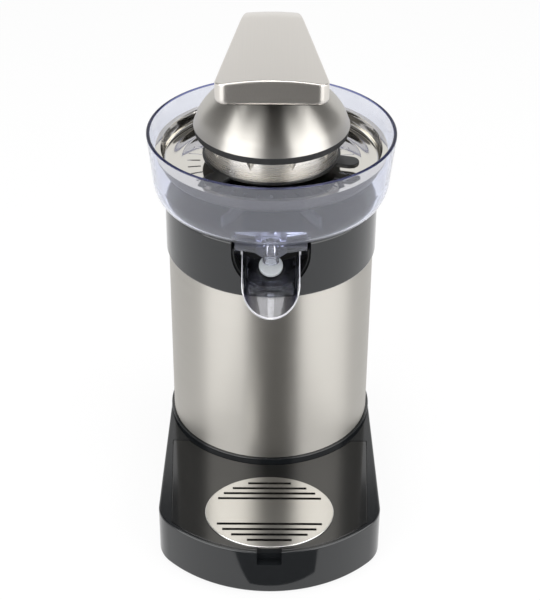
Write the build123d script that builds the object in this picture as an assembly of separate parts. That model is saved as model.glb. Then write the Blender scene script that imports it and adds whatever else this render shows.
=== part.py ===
"""Electric citrus juicer with a press lever, in millimetres.

Everything is drawn about the drive axis, which is vertical, with the front towards -Y and the table at
z = 0. The finished pieces are then moved so that the origin is the middle of the footprint.
"""
from math import cos, pi, radians, sin, sqrt, tan
import os

from build123d import *

# Clearances
RUN = 0.05
SLIP = 0.15
FREE = 0.3
TOUCH = 0.02

# Overlap of shapes that are joined or cut through
LAP = 1.0

# Base and drip tray
FOOT_H = 1.5
FOOT_R = 8.0
FOOT_INSET = 15.0
BASE_H = 31.5
BASE_BACK_R = 66.8
BASE_SIDE_X = 69.2
BASE_FRONT_R = 86.0
BASE_FRONT_Y = 153.4
BASE_CORNER_R = 25.0
BASE_WALL = 2.4
BASE_DECK = 5.0
BASE_EDGE_R = 1.2
COVER_T = 2.0
COVER_RECESS = 1.0
PILLAR_R = 4.5
COVER_SCREW_R = 1.5
COVER_SCREW_L = 14.0
COVER_SCREW_X = 50.0
COVER_SCREW_REAR_Y = 26.0
COVER_SCREW_FRONT_Y = 108.0
VENT_W = 3.0
VENT_L = 34.0
VENT_PITCH = 8.0
VENT_COUNT = 5
TRAY_T = 2.0
TRAY_RIM = 2.6
TRAY_BODY_GAP = 2.2
TRAY_REAR_Y = 44.0
TRAY_REAR_X = 63.6
TRAY_FRONT_X = 59.6
TRAY_WELL_DEPTH = 11.0
TRAY_WELL_WALL = 1.6
TRAY_LEDGE = 3.0
GRILLE_X = 39.9
GRILLE_Y = 33.3
GRILLE_T = 1.6
GRILLE_EDGE = 0.5
GRILLE_FRONT_GAP = 4.5
SLOT_W = 2.0
SLOT_PITCH = 4.9
SLOT_BAND = 12.0
SLOT_ROWS = 4
SLOT_MARGIN = 4.4
NOTCH_W = 15.0
NOTCH_H = 9.5
NOTCH_D = 5.5
GLAND_Z = 15.0
GLAND_R = 6.0
GLAND_BORE_R = 3.4
GLAND_NECK_R = 5.0
GLAND_NOSE_R = 4.5
GLAND_L = 13.0

# Body: steel sleeve between the foot ring and the upper housing
RING_T = 2.5
RING_R = 66.8
RING_BORE_R = 57.0
SLEEVE_R = 65.0
SLEEVE_H = 123.1
SLEEVE_WALL = 0.8
SPIGOT_H = 9.0
SPIGOT_WALL = 2.0
COLLAR_R = 66.4
COLLAR_H = 37.2
COLLAR_DECK = 3.0
COLLAR_EDGE_R = 1.8
POST_R = 4.0
POST_X = 38.0
ROD_R = 2.2
ROD_AT = 52.0
ROD_HEAD_R = 4.0
ROD_HEAD_H = 2.5
SCREW_R = 1.5
SCREW_HEAD_R = 3.0
SCREW_HEAD_H = 2.0

# Spout: recess, liner, flip chute and its pad
RECESS_R = 23.8
RECESS_DROP = 8.3
RECESS_BACK_Y = 50.0
LINER_WALL = 1.5
PIVOT_Y = 56.0
PIVOT_DROP = 10.3
PIVOT_R = 2.0
CHUTE_OPEN = 28.0
CHUTE_HALF_W = 17.5
CHUTE_DEPTH = 7.0
CHUTE_WALL = 1.6
CHUTE_RIM = 1.2
CHUTE_REAR_Y = 58.0
CHUTE_STRAIGHT_Y = 80.0
CHUTE_TIP_Y = 98.5
EAR_R = 3.6
PAD_R = 7.2
PAD_T = 2.2
PAD_POST_R = 3.6

# Juice bowl, sieve and reamer
BOWL_H = 43.8
BOWL_RIM_R = 76.8
BOWL_BELLY_R = 74.0
BOWL_CORNER_R = 8.5
BOWL_WALL = 2.2
BOWL_RIM_EDGE = 0.9
BOWL_FLOOR = 2.2
NOZZLE_Y = 63.8
NOZZLE_R = 5.0
NOZZLE_BORE_R = 3.4
NOZZLE_L = 12.2
LUG_HALF_W = 21.5
LUG_H = 5.5
LUG_END_H = 0.8
LUG_KNEE_H = 2.8
LUG_KNEE_X = 9.4
LUG_FOOT_X = 5.6
LUG_SINK = 0.5
LUG_CORNER_R = 2.0
LUG_FRONT_Y = 70.5
TOWER_R = 9.0
TOWER_BORE_R = 6.5
TOWER_H = 20.0
CHIMNEY_WALL = 2.0
CHIMNEY_H = 24.0
SHOULDER_R = 15.0
SHOULDER_H = 21.0
BOWL_RIB_T = 2.0
BOWL_RIB_COUNT = 6
BOWL_RIB_OUT = 58.0
SIEVE_WALL = 0.8
SIEVE_RIM_R = 68.3
SIEVE_RIM_RISE = 30.0
SIEVE_LIP = 1.8
SIEVE_FLOOR_R = 56.0
SIEVE_HUB_H = 3.6
SIEVE_BEND_OUT = 0.72
SIEVE_BEND_UP = 0.32
SIEVE_SLOTS = 54
SIEVE_SLOT_W = 1.4
SIEVE_SLOT_IN = 44.0
SIEVE_SLOT_OUT = 55.0
REAMER_RISE = 27.2
REAMER_BASE_R = 42.6
REAMER_BASE_T = 1.4
REAMER_R = 41.0
REAMER_BAND_H = 11.8
REAMER_BAND_IN = 0.8
REAMER_H = 43.8
REAMER_WALL = 1.6
REAMER_MID_R = 27.0
REAMER_MID_H = 28.8
RIB_COUNT = 10
RIB_T = 3.4
RIB_PROUD = 3.2
RIB_SHOULDER = 1.2
RIB_FOOT = 5.5
RIB_POINT = 8.0
FLANK_T = 8.0
FLANK_SHARE = 0.45
TIP_SHARE = 0.4
WING_COUNT = 3
WING_R = 55.0
WING_W = 12.0
WING_T = 2.6
WING_DROP = 1.4
WING_PHASE = -14.0
SKIRT_R = 15.6
SKIRT_T = 1.8
SKIRT_H = 2.6

# Drive train
STROKE = 1.5
MODULE = 1.25
PINION_TEETH = 12
WHEEL_TEETH = 36
ADDENDUM = 0.75
DEDENDUM = 1.15
BACKLASH = 0.2
PRESSURE_ANGLE = 20.0
FACE_W = 10.0
PLATE_R = 58.0
PLATE_T = 3.0
PLATE_DROP = 42.0
GEAR_LIFT = 2.5
GEAR_GAP = 3.0
SHAFT_R = 4.0
HEX_FLAT = 7.0
HEX_L = 12.0
SOCKET_R = 8.0
AXLE_R = 2.5
AXLE_STEP_R = 4.0
WHEEL_GAP = 0.5
GEARCASE_T = 4.0
GEARCASE_GAP = 5.0
GEARCASE_X = 48.0
GEARCASE_BOSS_R = 12.0
GEARCASE_BOSS_H = 6.0
LEG_R = 4.0
LEG_REAR = (44.0, 10.0)
LEG_FRONT = (30.0, -34.0)
BUSH_R = 8.0
BUSH_FLANGE_R = 11.0
BUSH_FLANGE_T = 2.0
SPRING_H = 4.0
SPRING_T = 1.2
TAB_REACH = 24.0
TAB_W = 8.0
COLLAR_STEP_R = 6.0
COLLAR_STEP_H = 3.0
SWITCH_X = 20.0
SWITCH_L = 14.0
SWITCH_W = 10.0
SWITCH_H = 8.0
PLUNGER_R = 1.2
PLUNGER_L = 5.5
SEAL_H = 5.0
MOTOR_SIZE = 56.0
MOTOR_H = 28.0
MOTOR_DROP = 12.0
MOTOR_BORE_R = 16.3
MOTOR_SCREW_AT = 22.5
MOTOR_SHAFT_R = 3.0
ROTOR_GAP = 0.5
COIL_W = 30.0
COIL_T = 7.0
END_PLATE_T = 2.5
END_PLATE_DROP = 4.0
END_HUB_R = 7.0

# Press dome and lever
DOME_R = 47.9
DOME_RISE = 47.9
DOME_H = 33.5
DOME_TOP_R = 11.0
DOME_WALL = 1.0
DOME_LINER = 1.6
DOME_SHOULDER = (44.0, 9.0)
DOME_HAUNCH = (36.2, 18.0)
DOME_CROWN = (24.2, 27.0)
DOME_RING_R = 47.3
DOME_RING_H = 3.6
DOME_RING_T = 3.0
DOME_TILT = 2.0
STUD_R = 6.0
STUD_L = 10.0
STUD_PIN_UP = 6.0
STUD_PIN_R = 2.0
STUD_PIN_REACH = 9.0
ARM_FRONT_Y = 50.0
ARM_T = 15.6
ARM_HALF_FRONT = 34.0
ARM_HALF_REAR = 11.9
ARM_BEND_Y = 43.0
ARM_BEND_R = 50.0
ARM_REAR_T = 12.5
ARM_CROWN_R = 170.0
ARM_SHELL = 1.2
ARM_FRONT_R = 5.0
ARM_DOME_GAP = 1.3
HINGE_Y = 87.0
HINGE_DROP = 3.8
HINGE_R = 3.0
HINGE_EAR_R = 9.0
HINGE_KNUCKLE_R = 8.5
HINGE_KNUCKLE_HALF = 6.7
HINGE_BRACKET_HALF = 13.0
HINGE_ARM_GAP = 11.0
BRACKET_DEPTH_Z = 30.0
BRACKET_SCREW_L = 12.0

# Levels above the table
BASE_Z = FOOT_H
DECK_Z = BASE_Z + BASE_H
SLEEVE_Z = DECK_Z + RING_T
COLLAR_Z = SLEEVE_Z + SLEEVE_H
TOP_Z = COLLAR_Z + COLLAR_H
PLATE_Z = COLLAR_Z - PLATE_DROP
PLATE_TOP = PLATE_Z + PLATE_T
PINION_Z = PLATE_TOP + GEAR_LIFT
OUTPUT_Z = PINION_Z + FACE_W + GEAR_GAP
GEARCASE_Z = OUTPUT_Z + FACE_W + GEARCASE_GAP
BOSS_TOP = GEARCASE_Z + GEARCASE_T + GEARCASE_BOSS_H
FLANGE_Z = BOSS_TOP + SPRING_H
BUSH_TOP = FLANGE_Z + BUSH_FLANGE_T
SIEVE_Z = TOP_Z + SHOULDER_H + RUN
REAMER_Z = TOP_Z + REAMER_RISE
CONE_Z = REAMER_Z + REAMER_BASE_T
SHAFT_TOP = CONE_Z + HEX_L
DOME_Z = TOP_Z + DOME_RISE
DOME_TOP = DOME_Z + DOME_H
ARM_LOW = DOME_TOP + ARM_DOME_GAP
ARM_TOP = ARM_LOW + ARM_T
HINGE_Z = TOP_Z - HINGE_DROP
ARM_END_Z = HINGE_Z + HINGE_ARM_GAP
PIN_Z = DOME_TOP + STUD_PIN_UP
ARM_BACK_Y = ARM_BEND_Y + ARM_BEND_R
RECESS_Z = TOP_Z - RECESS_DROP
PIVOT_Z = TOP_Z - PIVOT_DROP
NOZZLE_END = TOP_Z - NOZZLE_L
GEAR_AXIS_Y = MODULE * (PINION_TEETH + WHEEL_TEETH) / 2
GRILLE_AT_Y = GRILLE_Y + GRILLE_FRONT_GAP - BASE_FRONT_Y
MOTOR_TOP = PLATE_Z - MOTOR_DROP
MOTOR_Z = MOTOR_TOP - MOTOR_H
END_PLATE_Z = MOTOR_Z - END_PLATE_DROP - END_PLATE_T
FOOTPRINT_SHIFT = (BASE_FRONT_Y - HINGE_Y - HINGE_EAR_R) / 2


def drum(radius, low, high, x=0.0, y=0.0):
    """Upright cylinder between two levels."""
    return Pos(x, y, low) * extrude(Circle(radius), high - low)


def tube(radius, bore, low, high, x=0.0, y=0.0):
    """Upright tube between two levels."""
    return Pos(x, y, low) * extrude(Circle(radius) - Circle(bore), high - low)


def block(x0, x1, y0, y1, z0, z1):
    """Box between two corners."""
    centre = Pos((x0 + x1) / 2, (y0 + y1) / 2, (z0 + z1) / 2)
    return centre * Box(abs(x1 - x0), abs(y1 - y0), abs(z1 - z0))


def cross_pin(radius, half, y, z):
    """Cylinder along X, centred on the middle plane."""
    return Pos(0, y, z) * Rot(0, 90, 0) * Cylinder(radius, 2 * half)


def ring_of(shape, count, phase=0.0):
    """Copies of a shape spread evenly about the drive axis."""
    return [Rot(0, 0, phase + 360 * k / count) * shape for k in range(count)]


def turned(*edges):
    """Solid turned about the drive axis from a closed profile in the XZ plane."""
    return revolve(make_face(Curve() + list(edges)), Axis.Z)


def fused(shapes):
    """One shape out of several that meet."""
    first, *rest = shapes
    return first.fuse(*rest) if rest else first


def screw(radius, length, head_r, head_h):
    """Screw with its head's underside at z = 0 and its shank upwards."""
    return drum(radius, 0, length) + drum(head_r, -head_h, 0)


def base_outline(inset):
    """Plan of the base, drawn in by an inset: round back, straight sides, curved front."""
    back = BASE_BACK_R - inset
    side = BASE_SIDE_X - inset
    front_r = BASE_FRONT_R - inset
    corner_y = BASE_FRONT_R - BASE_FRONT_Y - sqrt(front_r**2 - side**2)
    edges = [
        Line((-back, 0), (-side, corner_y)),
        ThreePointArc((-side, corner_y), (0, inset - BASE_FRONT_Y), (side, corner_y)),
        Line((side, corner_y), (back, 0)),
        ThreePointArc((back, 0), (0, back), (-back, 0)),
    ]
    face = make_face(Curve() + edges)
    return fillet(face.vertices().group_by(Axis.Y)[0], BASE_CORNER_R - inset)


def tray_outline(grow):
    """Plan of the tray insert: the deck in front of the body, inside the base's rim."""
    plan = base_outline(TRAY_RIM - grow) - Circle(RING_R + TRAY_BODY_GAP - grow)
    rear_x = TRAY_REAR_X + grow
    front_x = TRAY_FRONT_X + grow
    rear_y = grow - TRAY_REAR_Y
    corners = [(-rear_x, rear_y), (-front_x, -BASE_FRONT_Y), (front_x, -BASE_FRONT_Y), (rear_x, rear_y)]
    return plan & make_face(Polyline(*corners, close=True))


def oval(grow):
    """Plan of the drip grille."""
    return Pos(0, GRILLE_AT_Y) * Ellipse(GRILLE_X + grow, GRILLE_Y + grow)


def cover_screw_places():
    """Places of the bottom cover's screws."""
    rows = (COVER_SCREW_REAR_Y, -COVER_SCREW_FRONT_Y)
    return [(x, y) for y in rows for x in (-COVER_SCREW_X, COVER_SCREW_X)]


def rod_places():
    """Places of the tie rods."""
    return [(-ROD_AT, 0.0), (ROD_AT, 0.0), (0.0, -ROD_AT)]


def post_places():
    """Places of the upper housing's posts."""
    return [(x, y) for x in (-POST_X, POST_X) for y in (-POST_X, POST_X)]


def leg_places():
    """Places of the gearbox cover's legs."""
    return [(side * x, y) for x, y in (LEG_REAR, LEG_FRONT) for side in (-1, 1)]


def motor_screw_places():
    """Places of the motor's screws."""
    return [(x, y) for x in (-MOTOR_SCREW_AT, MOTOR_SCREW_AT) for y in (-MOTOR_SCREW_AT, MOTOR_SCREW_AT)]


def make_base():
    """Base housing, its bottom cover, feet and fastenings, and the cord inlet."""
    shell = Pos(0, 0, BASE_Z) * extrude(base_outline(0), BASE_H)
    shell = fillet(shell.faces().sort_by(Axis.Z)[-1].edges(), BASE_EDGE_R)
    shell -= Pos(0, 0, BASE_Z) * extrude(base_outline(BASE_WALL), BASE_H - BASE_DECK)
    shell -= drum(RING_BORE_R, BASE_Z, DECK_Z)
    notch_low = DECK_Z - NOTCH_H
    notch_back = NOTCH_D - BASE_FRONT_Y
    shell += block(
        -NOTCH_W / 2 - BASE_WALL, NOTCH_W / 2 + BASE_WALL, BASE_WALL / 2 - BASE_FRONT_Y,
        notch_back + BASE_WALL, notch_low - BASE_WALL, DECK_Z - BASE_DECK,
    )
    cover_top = BASE_Z + COVER_RECESS + COVER_T
    for x, y in cover_screw_places():
        shell += drum(PILLAR_R, cover_top, DECK_Z - BASE_DECK, x, y)
        shell -= drum(COVER_SCREW_R + RUN, cover_top, cover_top + COVER_SCREW_L, x, y)
    rod_low = BASE_Z + BASE_H / 2
    for x, y in rod_places():
        shell += drum(PILLAR_R + ROD_R, rod_low, DECK_Z - BASE_DECK / 2, x, y)
        shell -= drum(ROD_R + RUN, rod_low, DECK_Z, x, y)
    shell -= Pos(0, 0, DECK_Z - TRAY_T) * extrude(tray_outline(FREE), TRAY_T)
    shell -= Pos(0, 0, BASE_Z) * extrude(oval(TRAY_WELL_WALL + FREE - TRAY_LEDGE), BASE_H)
    shell -= block(-NOTCH_W / 2, NOTCH_W / 2, -BASE_FRONT_Y - BASE_WALL, notch_back, notch_low, DECK_Z)
    gland_hole = Pos(0, BASE_BACK_R, GLAND_Z) * Rot(90, 0, 0) * Cylinder(GLAND_NECK_R + RUN, 4 * BASE_WALL)
    shell -= gland_hole

    cover_z = BASE_Z + COVER_RECESS
    cover = Pos(0, 0, cover_z) * extrude(base_outline(BASE_WALL + SLIP), COVER_T)
    slot = SlotOverall(VENT_L, VENT_W)
    for k in range(VENT_COUNT):
        y = (k - (VENT_COUNT - 1) / 2) * VENT_PITCH
        cover -= Pos(0, y, cover_z) * extrude(slot, COVER_T)
    screws = []
    for x, y in cover_screw_places():
        cover -= drum(COVER_SCREW_R + SLIP, cover_z, cover_top, x, y)
        cover -= drum(SCREW_HEAD_R + SLIP, cover_z, cover_z + COVER_T / 2, x, y)
        head = screw(COVER_SCREW_R, COVER_SCREW_L, SCREW_HEAD_R, COVER_T / 2)
        screws.append(Pos(x, y, cover_z + COVER_T / 2) * head)
    feet = []
    for x, y in cover_screw_places():
        foot_x = x - FOOT_INSET if x > 0 else x + FOOT_INSET
        foot = drum(FOOT_R, 0, cover_z, foot_x, y)
        feet.append(chamfer(foot.faces().sort_by(Axis.Z)[0].edges(), FOOT_H / 2))

    out = BASE_BACK_R + GLAND_L - BASE_WALL
    gland_at = Pos(0, out, GLAND_Z) * Rot(90, 0, 0)
    nose_l = GLAND_L - BASE_WALL - RUN
    nose = Pos(0, 0, nose_l / 2) * Cone(GLAND_NOSE_R, GLAND_R, nose_l)
    neck = Pos(0, 0, GLAND_L - BASE_WALL) * Cylinder(GLAND_NECK_R, 3 * BASE_WALL)
    gland = gland_at * (nose + neck - Cylinder(GLAND_BORE_R, 4 * GLAND_L))
    gland -= drum(BASE_BACK_R - BASE_WALL, 0, DECK_Z)

    heads = [
        drum(ROD_R, rod_low, PLATE_Z, x, y) + drum(ROD_HEAD_R, rod_low - ROD_HEAD_H, rod_low, x, y)
        for x, y in rod_places()
    ]
    return {
        "base_housing": shell,
        "bottom_cover": cover,
        "cover_screws": Compound(screws),
        "rubber_feet": Compound(feet),
        "cord_gland": gland,
        "tie_rods": Compound(heads),
    }


def make_tray():
    """Drip tray insert with its well, and the slotted grille that lies on it."""
    low = DECK_Z - TRAY_T
    tray = Pos(0, 0, low) * extrude(tray_outline(0), TRAY_T)
    well_top = TRAY_WELL_WALL - TRAY_LEDGE
    tray += Pos(0, 0, DECK_Z - TRAY_WELL_DEPTH) * extrude(oval(well_top), TRAY_WELL_DEPTH - TRAY_T / 2)
    tray -= Pos(0, 0, DECK_Z - TRAY_WELL_DEPTH + TRAY_WELL_WALL) * extrude(oval(-TRAY_LEDGE), BASE_H)
    seat = DECK_Z - GRILLE_T / 2
    tray -= Pos(0, 0, seat) * extrude(oval(SLIP), GRILLE_T)
    notch = NOTCH_W / 2
    tray -= block(-notch, notch, -BASE_FRONT_Y, NOTCH_D - BASE_FRONT_Y, low, DECK_Z)

    grille = Pos(0, 0, seat) * extrude(oval(0), GRILLE_T)
    grille = chamfer(grille.faces().sort_by(Axis.Z)[-1].edges(), GRILLE_EDGE)
    for side in (-1, 1):
        for row in range(SLOT_ROWS):
            off = side * (SLOT_BAND + row * SLOT_PITCH)
            half = (GRILLE_X - SLOT_MARGIN) * sqrt(1 - (off / (GRILLE_Y - SLOT_MARGIN)) ** 2)
            slot = Pos(0, GRILLE_AT_Y + off, seat) * extrude(SlotOverall(2 * half, SLOT_W), GRILLE_T)
            grille -= slot
    return {"drip_tray": tray, "drip_grille": grille}


def recess_plan(grow):
    """U-shaped section of the spout recess in the XZ plane, open at the top."""
    radius = RECESS_R + grow
    upper = Pos(0, RECESS_DROP) * Rectangle(2 * radius, 2 * RECESS_DROP)
    return Plane.XZ * (Pos(0, RECESS_Z) * (Circle(radius) + upper))


def recess_prism(grow, front_y, back_y):
    """Recess section run along Y."""
    return Pos(0, -back_y, 0) * extrude(recess_plan(grow), front_y - back_y)


def make_body():
    """Foot ring, steel sleeve and upper housing with its posts and drive tower."""
    spigot_r = SLEEVE_R - SLEEVE_WALL - RUN
    spigot_bore = spigot_r - SPIGOT_WALL
    ring = tube(RING_R, RING_BORE_R, DECK_Z, SLEEVE_Z)
    ring += tube(spigot_r, spigot_bore, DECK_Z, SLEEVE_Z + SPIGOT_H)
    for x, y in rod_places():
        lug = drum(PILLAR_R, DECK_Z, SLEEVE_Z, x, y) - drum(ROD_R + RUN, DECK_Z, SLEEVE_Z, x, y)
        web_end = spigot_r / ROD_AT
        web = block(x - PILLAR_R, x + PILLAR_R, y - PILLAR_R, y + PILLAR_R, DECK_Z, SLEEVE_Z)
        reach = Pos(x * (web_end - 1) / 2, y * (web_end - 1) / 2, 0) * web
        ring += lug + (reach - drum(ROD_R + RUN, DECK_Z, SLEEVE_Z, x, y)) & drum(RING_R, DECK_Z, SLEEVE_Z)

    sleeve = tube(SLEEVE_R, SLEEVE_R - SLEEVE_WALL, SLEEVE_Z, COLLAR_Z)

    collar = drum(COLLAR_R, COLLAR_Z, TOP_Z)
    collar = fillet(collar.edges(), COLLAR_EDGE_R)
    collar -= drum(spigot_bore, COLLAR_Z, TOP_Z - COLLAR_DECK)
    collar += tube(spigot_r, spigot_bore, COLLAR_Z - SPIGOT_H, COLLAR_Z + COLLAR_EDGE_R)
    for x, y in post_places():
        collar += drum(POST_R, PLATE_TOP, TOP_Z - COLLAR_DECK / 2, x, y)
        collar -= drum(SCREW_R + RUN, PLATE_TOP, PLATE_TOP + BRACKET_SCREW_L, x, y)
    collar += drum(TOWER_R, TOP_Z - COLLAR_DECK, TOP_Z + TOWER_H)
    collar -= drum(TOWER_BORE_R, TOP_Z - COLLAR_DECK, TOP_Z + TOWER_H)
    collar -= recess_prism(0, COLLAR_R + LAP, RECESS_BACK_Y)
    for x in (-HINGE_BRACKET_HALF / 2, HINGE_BRACKET_HALF / 2):
        hole_at = Pos(x, COLLAR_R, HINGE_Z - BRACKET_DEPTH_Z / 2) * Rot(90, 0, 0)
        hole = hole_at * Cylinder(SCREW_R + RUN, BRACKET_SCREW_L)
        collar -= hole

    liner = recess_prism(-SLIP, SLEEVE_R, RECESS_BACK_Y + SLIP)
    liner -= recess_prism(-SLIP - LINER_WALL, COLLAR_R, RECESS_BACK_Y + SLIP + LINER_WALL)
    liner &= drum(SLEEVE_R, COLLAR_Z, TOP_Z - LUG_H - FREE)
    liner -= cross_pin(PIVOT_R + RUN, RECESS_R, -PIVOT_Y, PIVOT_Z)
    return {"foot_ring": ring, "steel_sleeve": sleeve, "upper_housing": collar, "spout_liner": liner}


def make_chute():
    """Flip chute in its open position, with the pad that stops the drip when it is raised."""
    rim_z = PIVOT_Z + CHUTE_RIM
    length = CHUTE_TIP_Y - CHUTE_REAR_Y

    def channel(half_w, depth):
        section = Ellipse(half_w, depth) & (Pos(0, -depth / 2) * Rectangle(2 * half_w, depth))
        return Pos(0, -CHUTE_REAR_Y, rim_z) * extrude(Plane.XZ * section, length)

    straight = CHUTE_STRAIGHT_Y - CHUTE_REAR_Y
    plan = Pos(0, -CHUTE_STRAIGHT_Y) * Ellipse(CHUTE_HALF_W, CHUTE_TIP_Y - CHUTE_STRAIGHT_Y)
    plan += Pos(0, straight / 2 - CHUTE_STRAIGHT_Y) * Rectangle(2 * CHUTE_HALF_W, straight)
    tongue = Pos(0, 0, rim_z - 2 * CHUTE_HALF_W) * extrude(plan, 2 * CHUTE_HALF_W)
    inner_half = CHUTE_HALF_W - CHUTE_WALL
    hollow = channel(inner_half, CHUTE_DEPTH)
    chute = (channel(CHUTE_HALF_W, CHUTE_DEPTH + CHUTE_WALL) & tongue) - hollow
    pad_top = NOZZLE_END - FREE
    pad_low = pad_top - PAD_T
    chute += drum(PAD_POST_R, rim_z - CHUTE_DEPTH - CHUTE_WALL / 2, pad_low, 0, -NOZZLE_Y)
    stub_end = RECESS_R - SLIP - LINER_WALL / 4
    for side in (-1, 1):
        ear_x = side * (CHUTE_HALF_W - CHUTE_WALL / 2)
        ear = Pos(ear_x, -PIVOT_Y, PIVOT_Z) * Rot(0, 90, 0) * Cylinder(EAR_R, CHUTE_WALL)
        bar = block(
            ear_x - CHUTE_WALL / 2, ear_x + CHUTE_WALL / 2, -CHUTE_REAR_Y - EAR_R, -PIVOT_Y,
            PIVOT_Z - EAR_R / 2, rim_z,
        )
        half_stub = (stub_end - abs(ear_x)) / 2
        stub_x = side * (abs(ear_x) + half_stub)
        stub = Pos(stub_x, -PIVOT_Y, PIVOT_Z) * Rot(0, 90, 0) * Cylinder(PIVOT_R, 2 * half_stub)
        chute += ear + bar + stub
    pad = drum(PAD_R, pad_low, pad_top, 0, -NOZZLE_Y)
    pad = fillet(pad.faces().sort_by(Axis.Z)[-1].edges(), PAD_T / 4)
    opened = Pos(0, -PIVOT_Y, PIVOT_Z) * Rot(CHUTE_OPEN, 0, 0) * Pos(0, PIVOT_Y, -PIVOT_Z)
    return {"flip_chute": opened * chute, "drip_stop_pad": opened * pad}


def make_bowl():
    """Clear juice bowl with its chimney, support ribs and spout nozzle."""
    foot = BOWL_BELLY_R - BOWL_CORNER_R
    bend = TOP_Z + BOWL_CORNER_R
    rim = TOP_Z + BOWL_H
    floor = TOP_Z + BOWL_FLOOR
    inner_r = BOWL_CORNER_R - BOWL_WALL
    inner_rim = BOWL_RIM_R - BOWL_WALL
    inner_belly = BOWL_BELLY_R - BOWL_WALL
    turn = sqrt(0.5)
    outer_mid = (foot + BOWL_CORNER_R * turn, bend - BOWL_CORNER_R * turn)
    inner_mid = (foot + inner_r * turn, floor + inner_r * (1 - turn))
    bore = TOWER_R + FREE
    profile = [
        Line((bore, TOP_Z), (foot, TOP_Z)),
        ThreePointArc((foot, TOP_Z), outer_mid, (BOWL_BELLY_R, bend)),
        Line((BOWL_BELLY_R, bend), (BOWL_RIM_R, rim)),
        Line((BOWL_RIM_R, rim), (inner_rim, rim)),
        Line((inner_rim, rim), (inner_belly, floor + inner_r)),
        ThreePointArc((inner_belly, floor + inner_r), inner_mid, (foot, floor)),
        Line((foot, floor), (SHOULDER_R, floor)),
        Line((SHOULDER_R, floor), (SHOULDER_R, TOP_Z + SHOULDER_H)),
        Line((SHOULDER_R, TOP_Z + SHOULDER_H), (bore + CHIMNEY_WALL, TOP_Z + SHOULDER_H)),
        Line((bore + CHIMNEY_WALL, TOP_Z + SHOULDER_H), (bore + CHIMNEY_WALL, TOP_Z + CHIMNEY_H)),
        Line((bore + CHIMNEY_WALL, TOP_Z + CHIMNEY_H), (bore, TOP_Z + CHIMNEY_H)),
        Line((bore, TOP_Z + CHIMNEY_H), (bore, TOP_Z)),
    ]
    bowl = turned(*[Plane.XZ * edge for edge in profile])
    bowl = fillet(bowl.faces().sort_by(Axis.Z)[-1].edges(), BOWL_RIM_EDGE)
    rib = block(
        SHOULDER_R - LAP, BOWL_RIB_OUT, -BOWL_RIB_T / 2, BOWL_RIB_T / 2, floor - BOWL_FLOOR / 2,
        TOP_Z + SHOULDER_H / 2,
    )
    bowl = fused([bowl] + ring_of(rib, BOWL_RIB_COUNT, 180 / BOWL_RIB_COUNT + 90))
    right = [
        (LUG_HALF_W, floor - LUG_SINK), (LUG_HALF_W, TOP_Z - LUG_END_H), (LUG_KNEE_X, TOP_Z - LUG_KNEE_H),
        (LUG_FOOT_X, TOP_Z - LUG_H),
    ]
    left = [(-x, z) for x, z in reversed(right)]
    front = Plane.XZ * make_face(Polyline(*right, *left, close=True))
    lug_back = RECESS_BACK_Y + FREE + LINER_WALL
    lug = Pos(0, -lug_back, 0) * extrude(front, LUG_FRONT_Y - lug_back)
    lug = fillet(lug.edges().filter_by(Axis.Z).group_by(Axis.Y)[0], LUG_CORNER_R)
    lug -= drum(foot - BOWL_WALL, TOP_Z, rim)
    bowl += lug + drum(NOZZLE_R, NOZZLE_END, TOP_Z, 0, -NOZZLE_Y)
    bowl -= drum(NOZZLE_BORE_R, NOZZLE_END, floor + BOWL_FLOOR, 0, -NOZZLE_Y)
    return {"juice_bowl": bowl}


def make_sieve():
    """Slotted steel dish that hangs on the bowl's chimney."""
    hub = TOWER_R + 2 * FREE + CHIMNEY_WALL
    rim = TOP_Z + SIEVE_RIM_RISE
    wall_r = SIEVE_RIM_R - SIEVE_LIP
    t = SIEVE_WALL
    mid_r = SIEVE_FLOOR_R + SIEVE_BEND_OUT * (wall_r - SIEVE_FLOOR_R)
    mid_z = SIEVE_Z + SIEVE_BEND_UP * (rim - SIEVE_Z)
    profile = [
        Line((hub, SIEVE_Z), (SIEVE_FLOOR_R, SIEVE_Z)),
        ThreePointArc((SIEVE_FLOOR_R, SIEVE_Z), (mid_r, mid_z), (wall_r, rim - t)),
        Line((wall_r, rim - t), (SIEVE_RIM_R, rim - t)),
        Line((SIEVE_RIM_R, rim - t), (SIEVE_RIM_R, rim)),
        Line((SIEVE_RIM_R, rim), (wall_r - t, rim)),
        ThreePointArc((wall_r - t, rim), (mid_r - t, mid_z + t / 2), (SIEVE_FLOOR_R, SIEVE_Z + t)),
        Line((SIEVE_FLOOR_R, SIEVE_Z + t), (hub + t, SIEVE_Z + t)),
        Line((hub + t, SIEVE_Z + t), (hub + t, SIEVE_Z + SIEVE_HUB_H)),
        Line((hub + t, SIEVE_Z + SIEVE_HUB_H), (hub, SIEVE_Z + SIEVE_HUB_H)),
        Line((hub, SIEVE_Z + SIEVE_HUB_H), (hub, SIEVE_Z)),
    ]
    sieve = turned(*[Plane.XZ * edge for edge in profile])
    slot = block(
        SIEVE_SLOT_IN, SIEVE_SLOT_OUT, -SIEVE_SLOT_W / 2, SIEVE_SLOT_W / 2, SIEVE_Z - t, SIEVE_Z + 2 * t
    )
    return {"sieve": sieve.cut(*ring_of(slot, SIEVE_SLOTS))}


def cone_edges(inset):
    """Upper outline of the reamer, from the top of its band to its tip, drawn in by an inset."""
    band_r = REAMER_R - REAMER_BAND_IN - inset
    band_z = CONE_Z + REAMER_BAND_H
    tip = (0, CONE_Z + REAMER_H - inset)
    middle = (REAMER_MID_R - inset * sqrt(0.5), CONE_Z + REAMER_MID_H - inset * sqrt(0.5))
    return band_r, band_z, tip, middle


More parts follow.
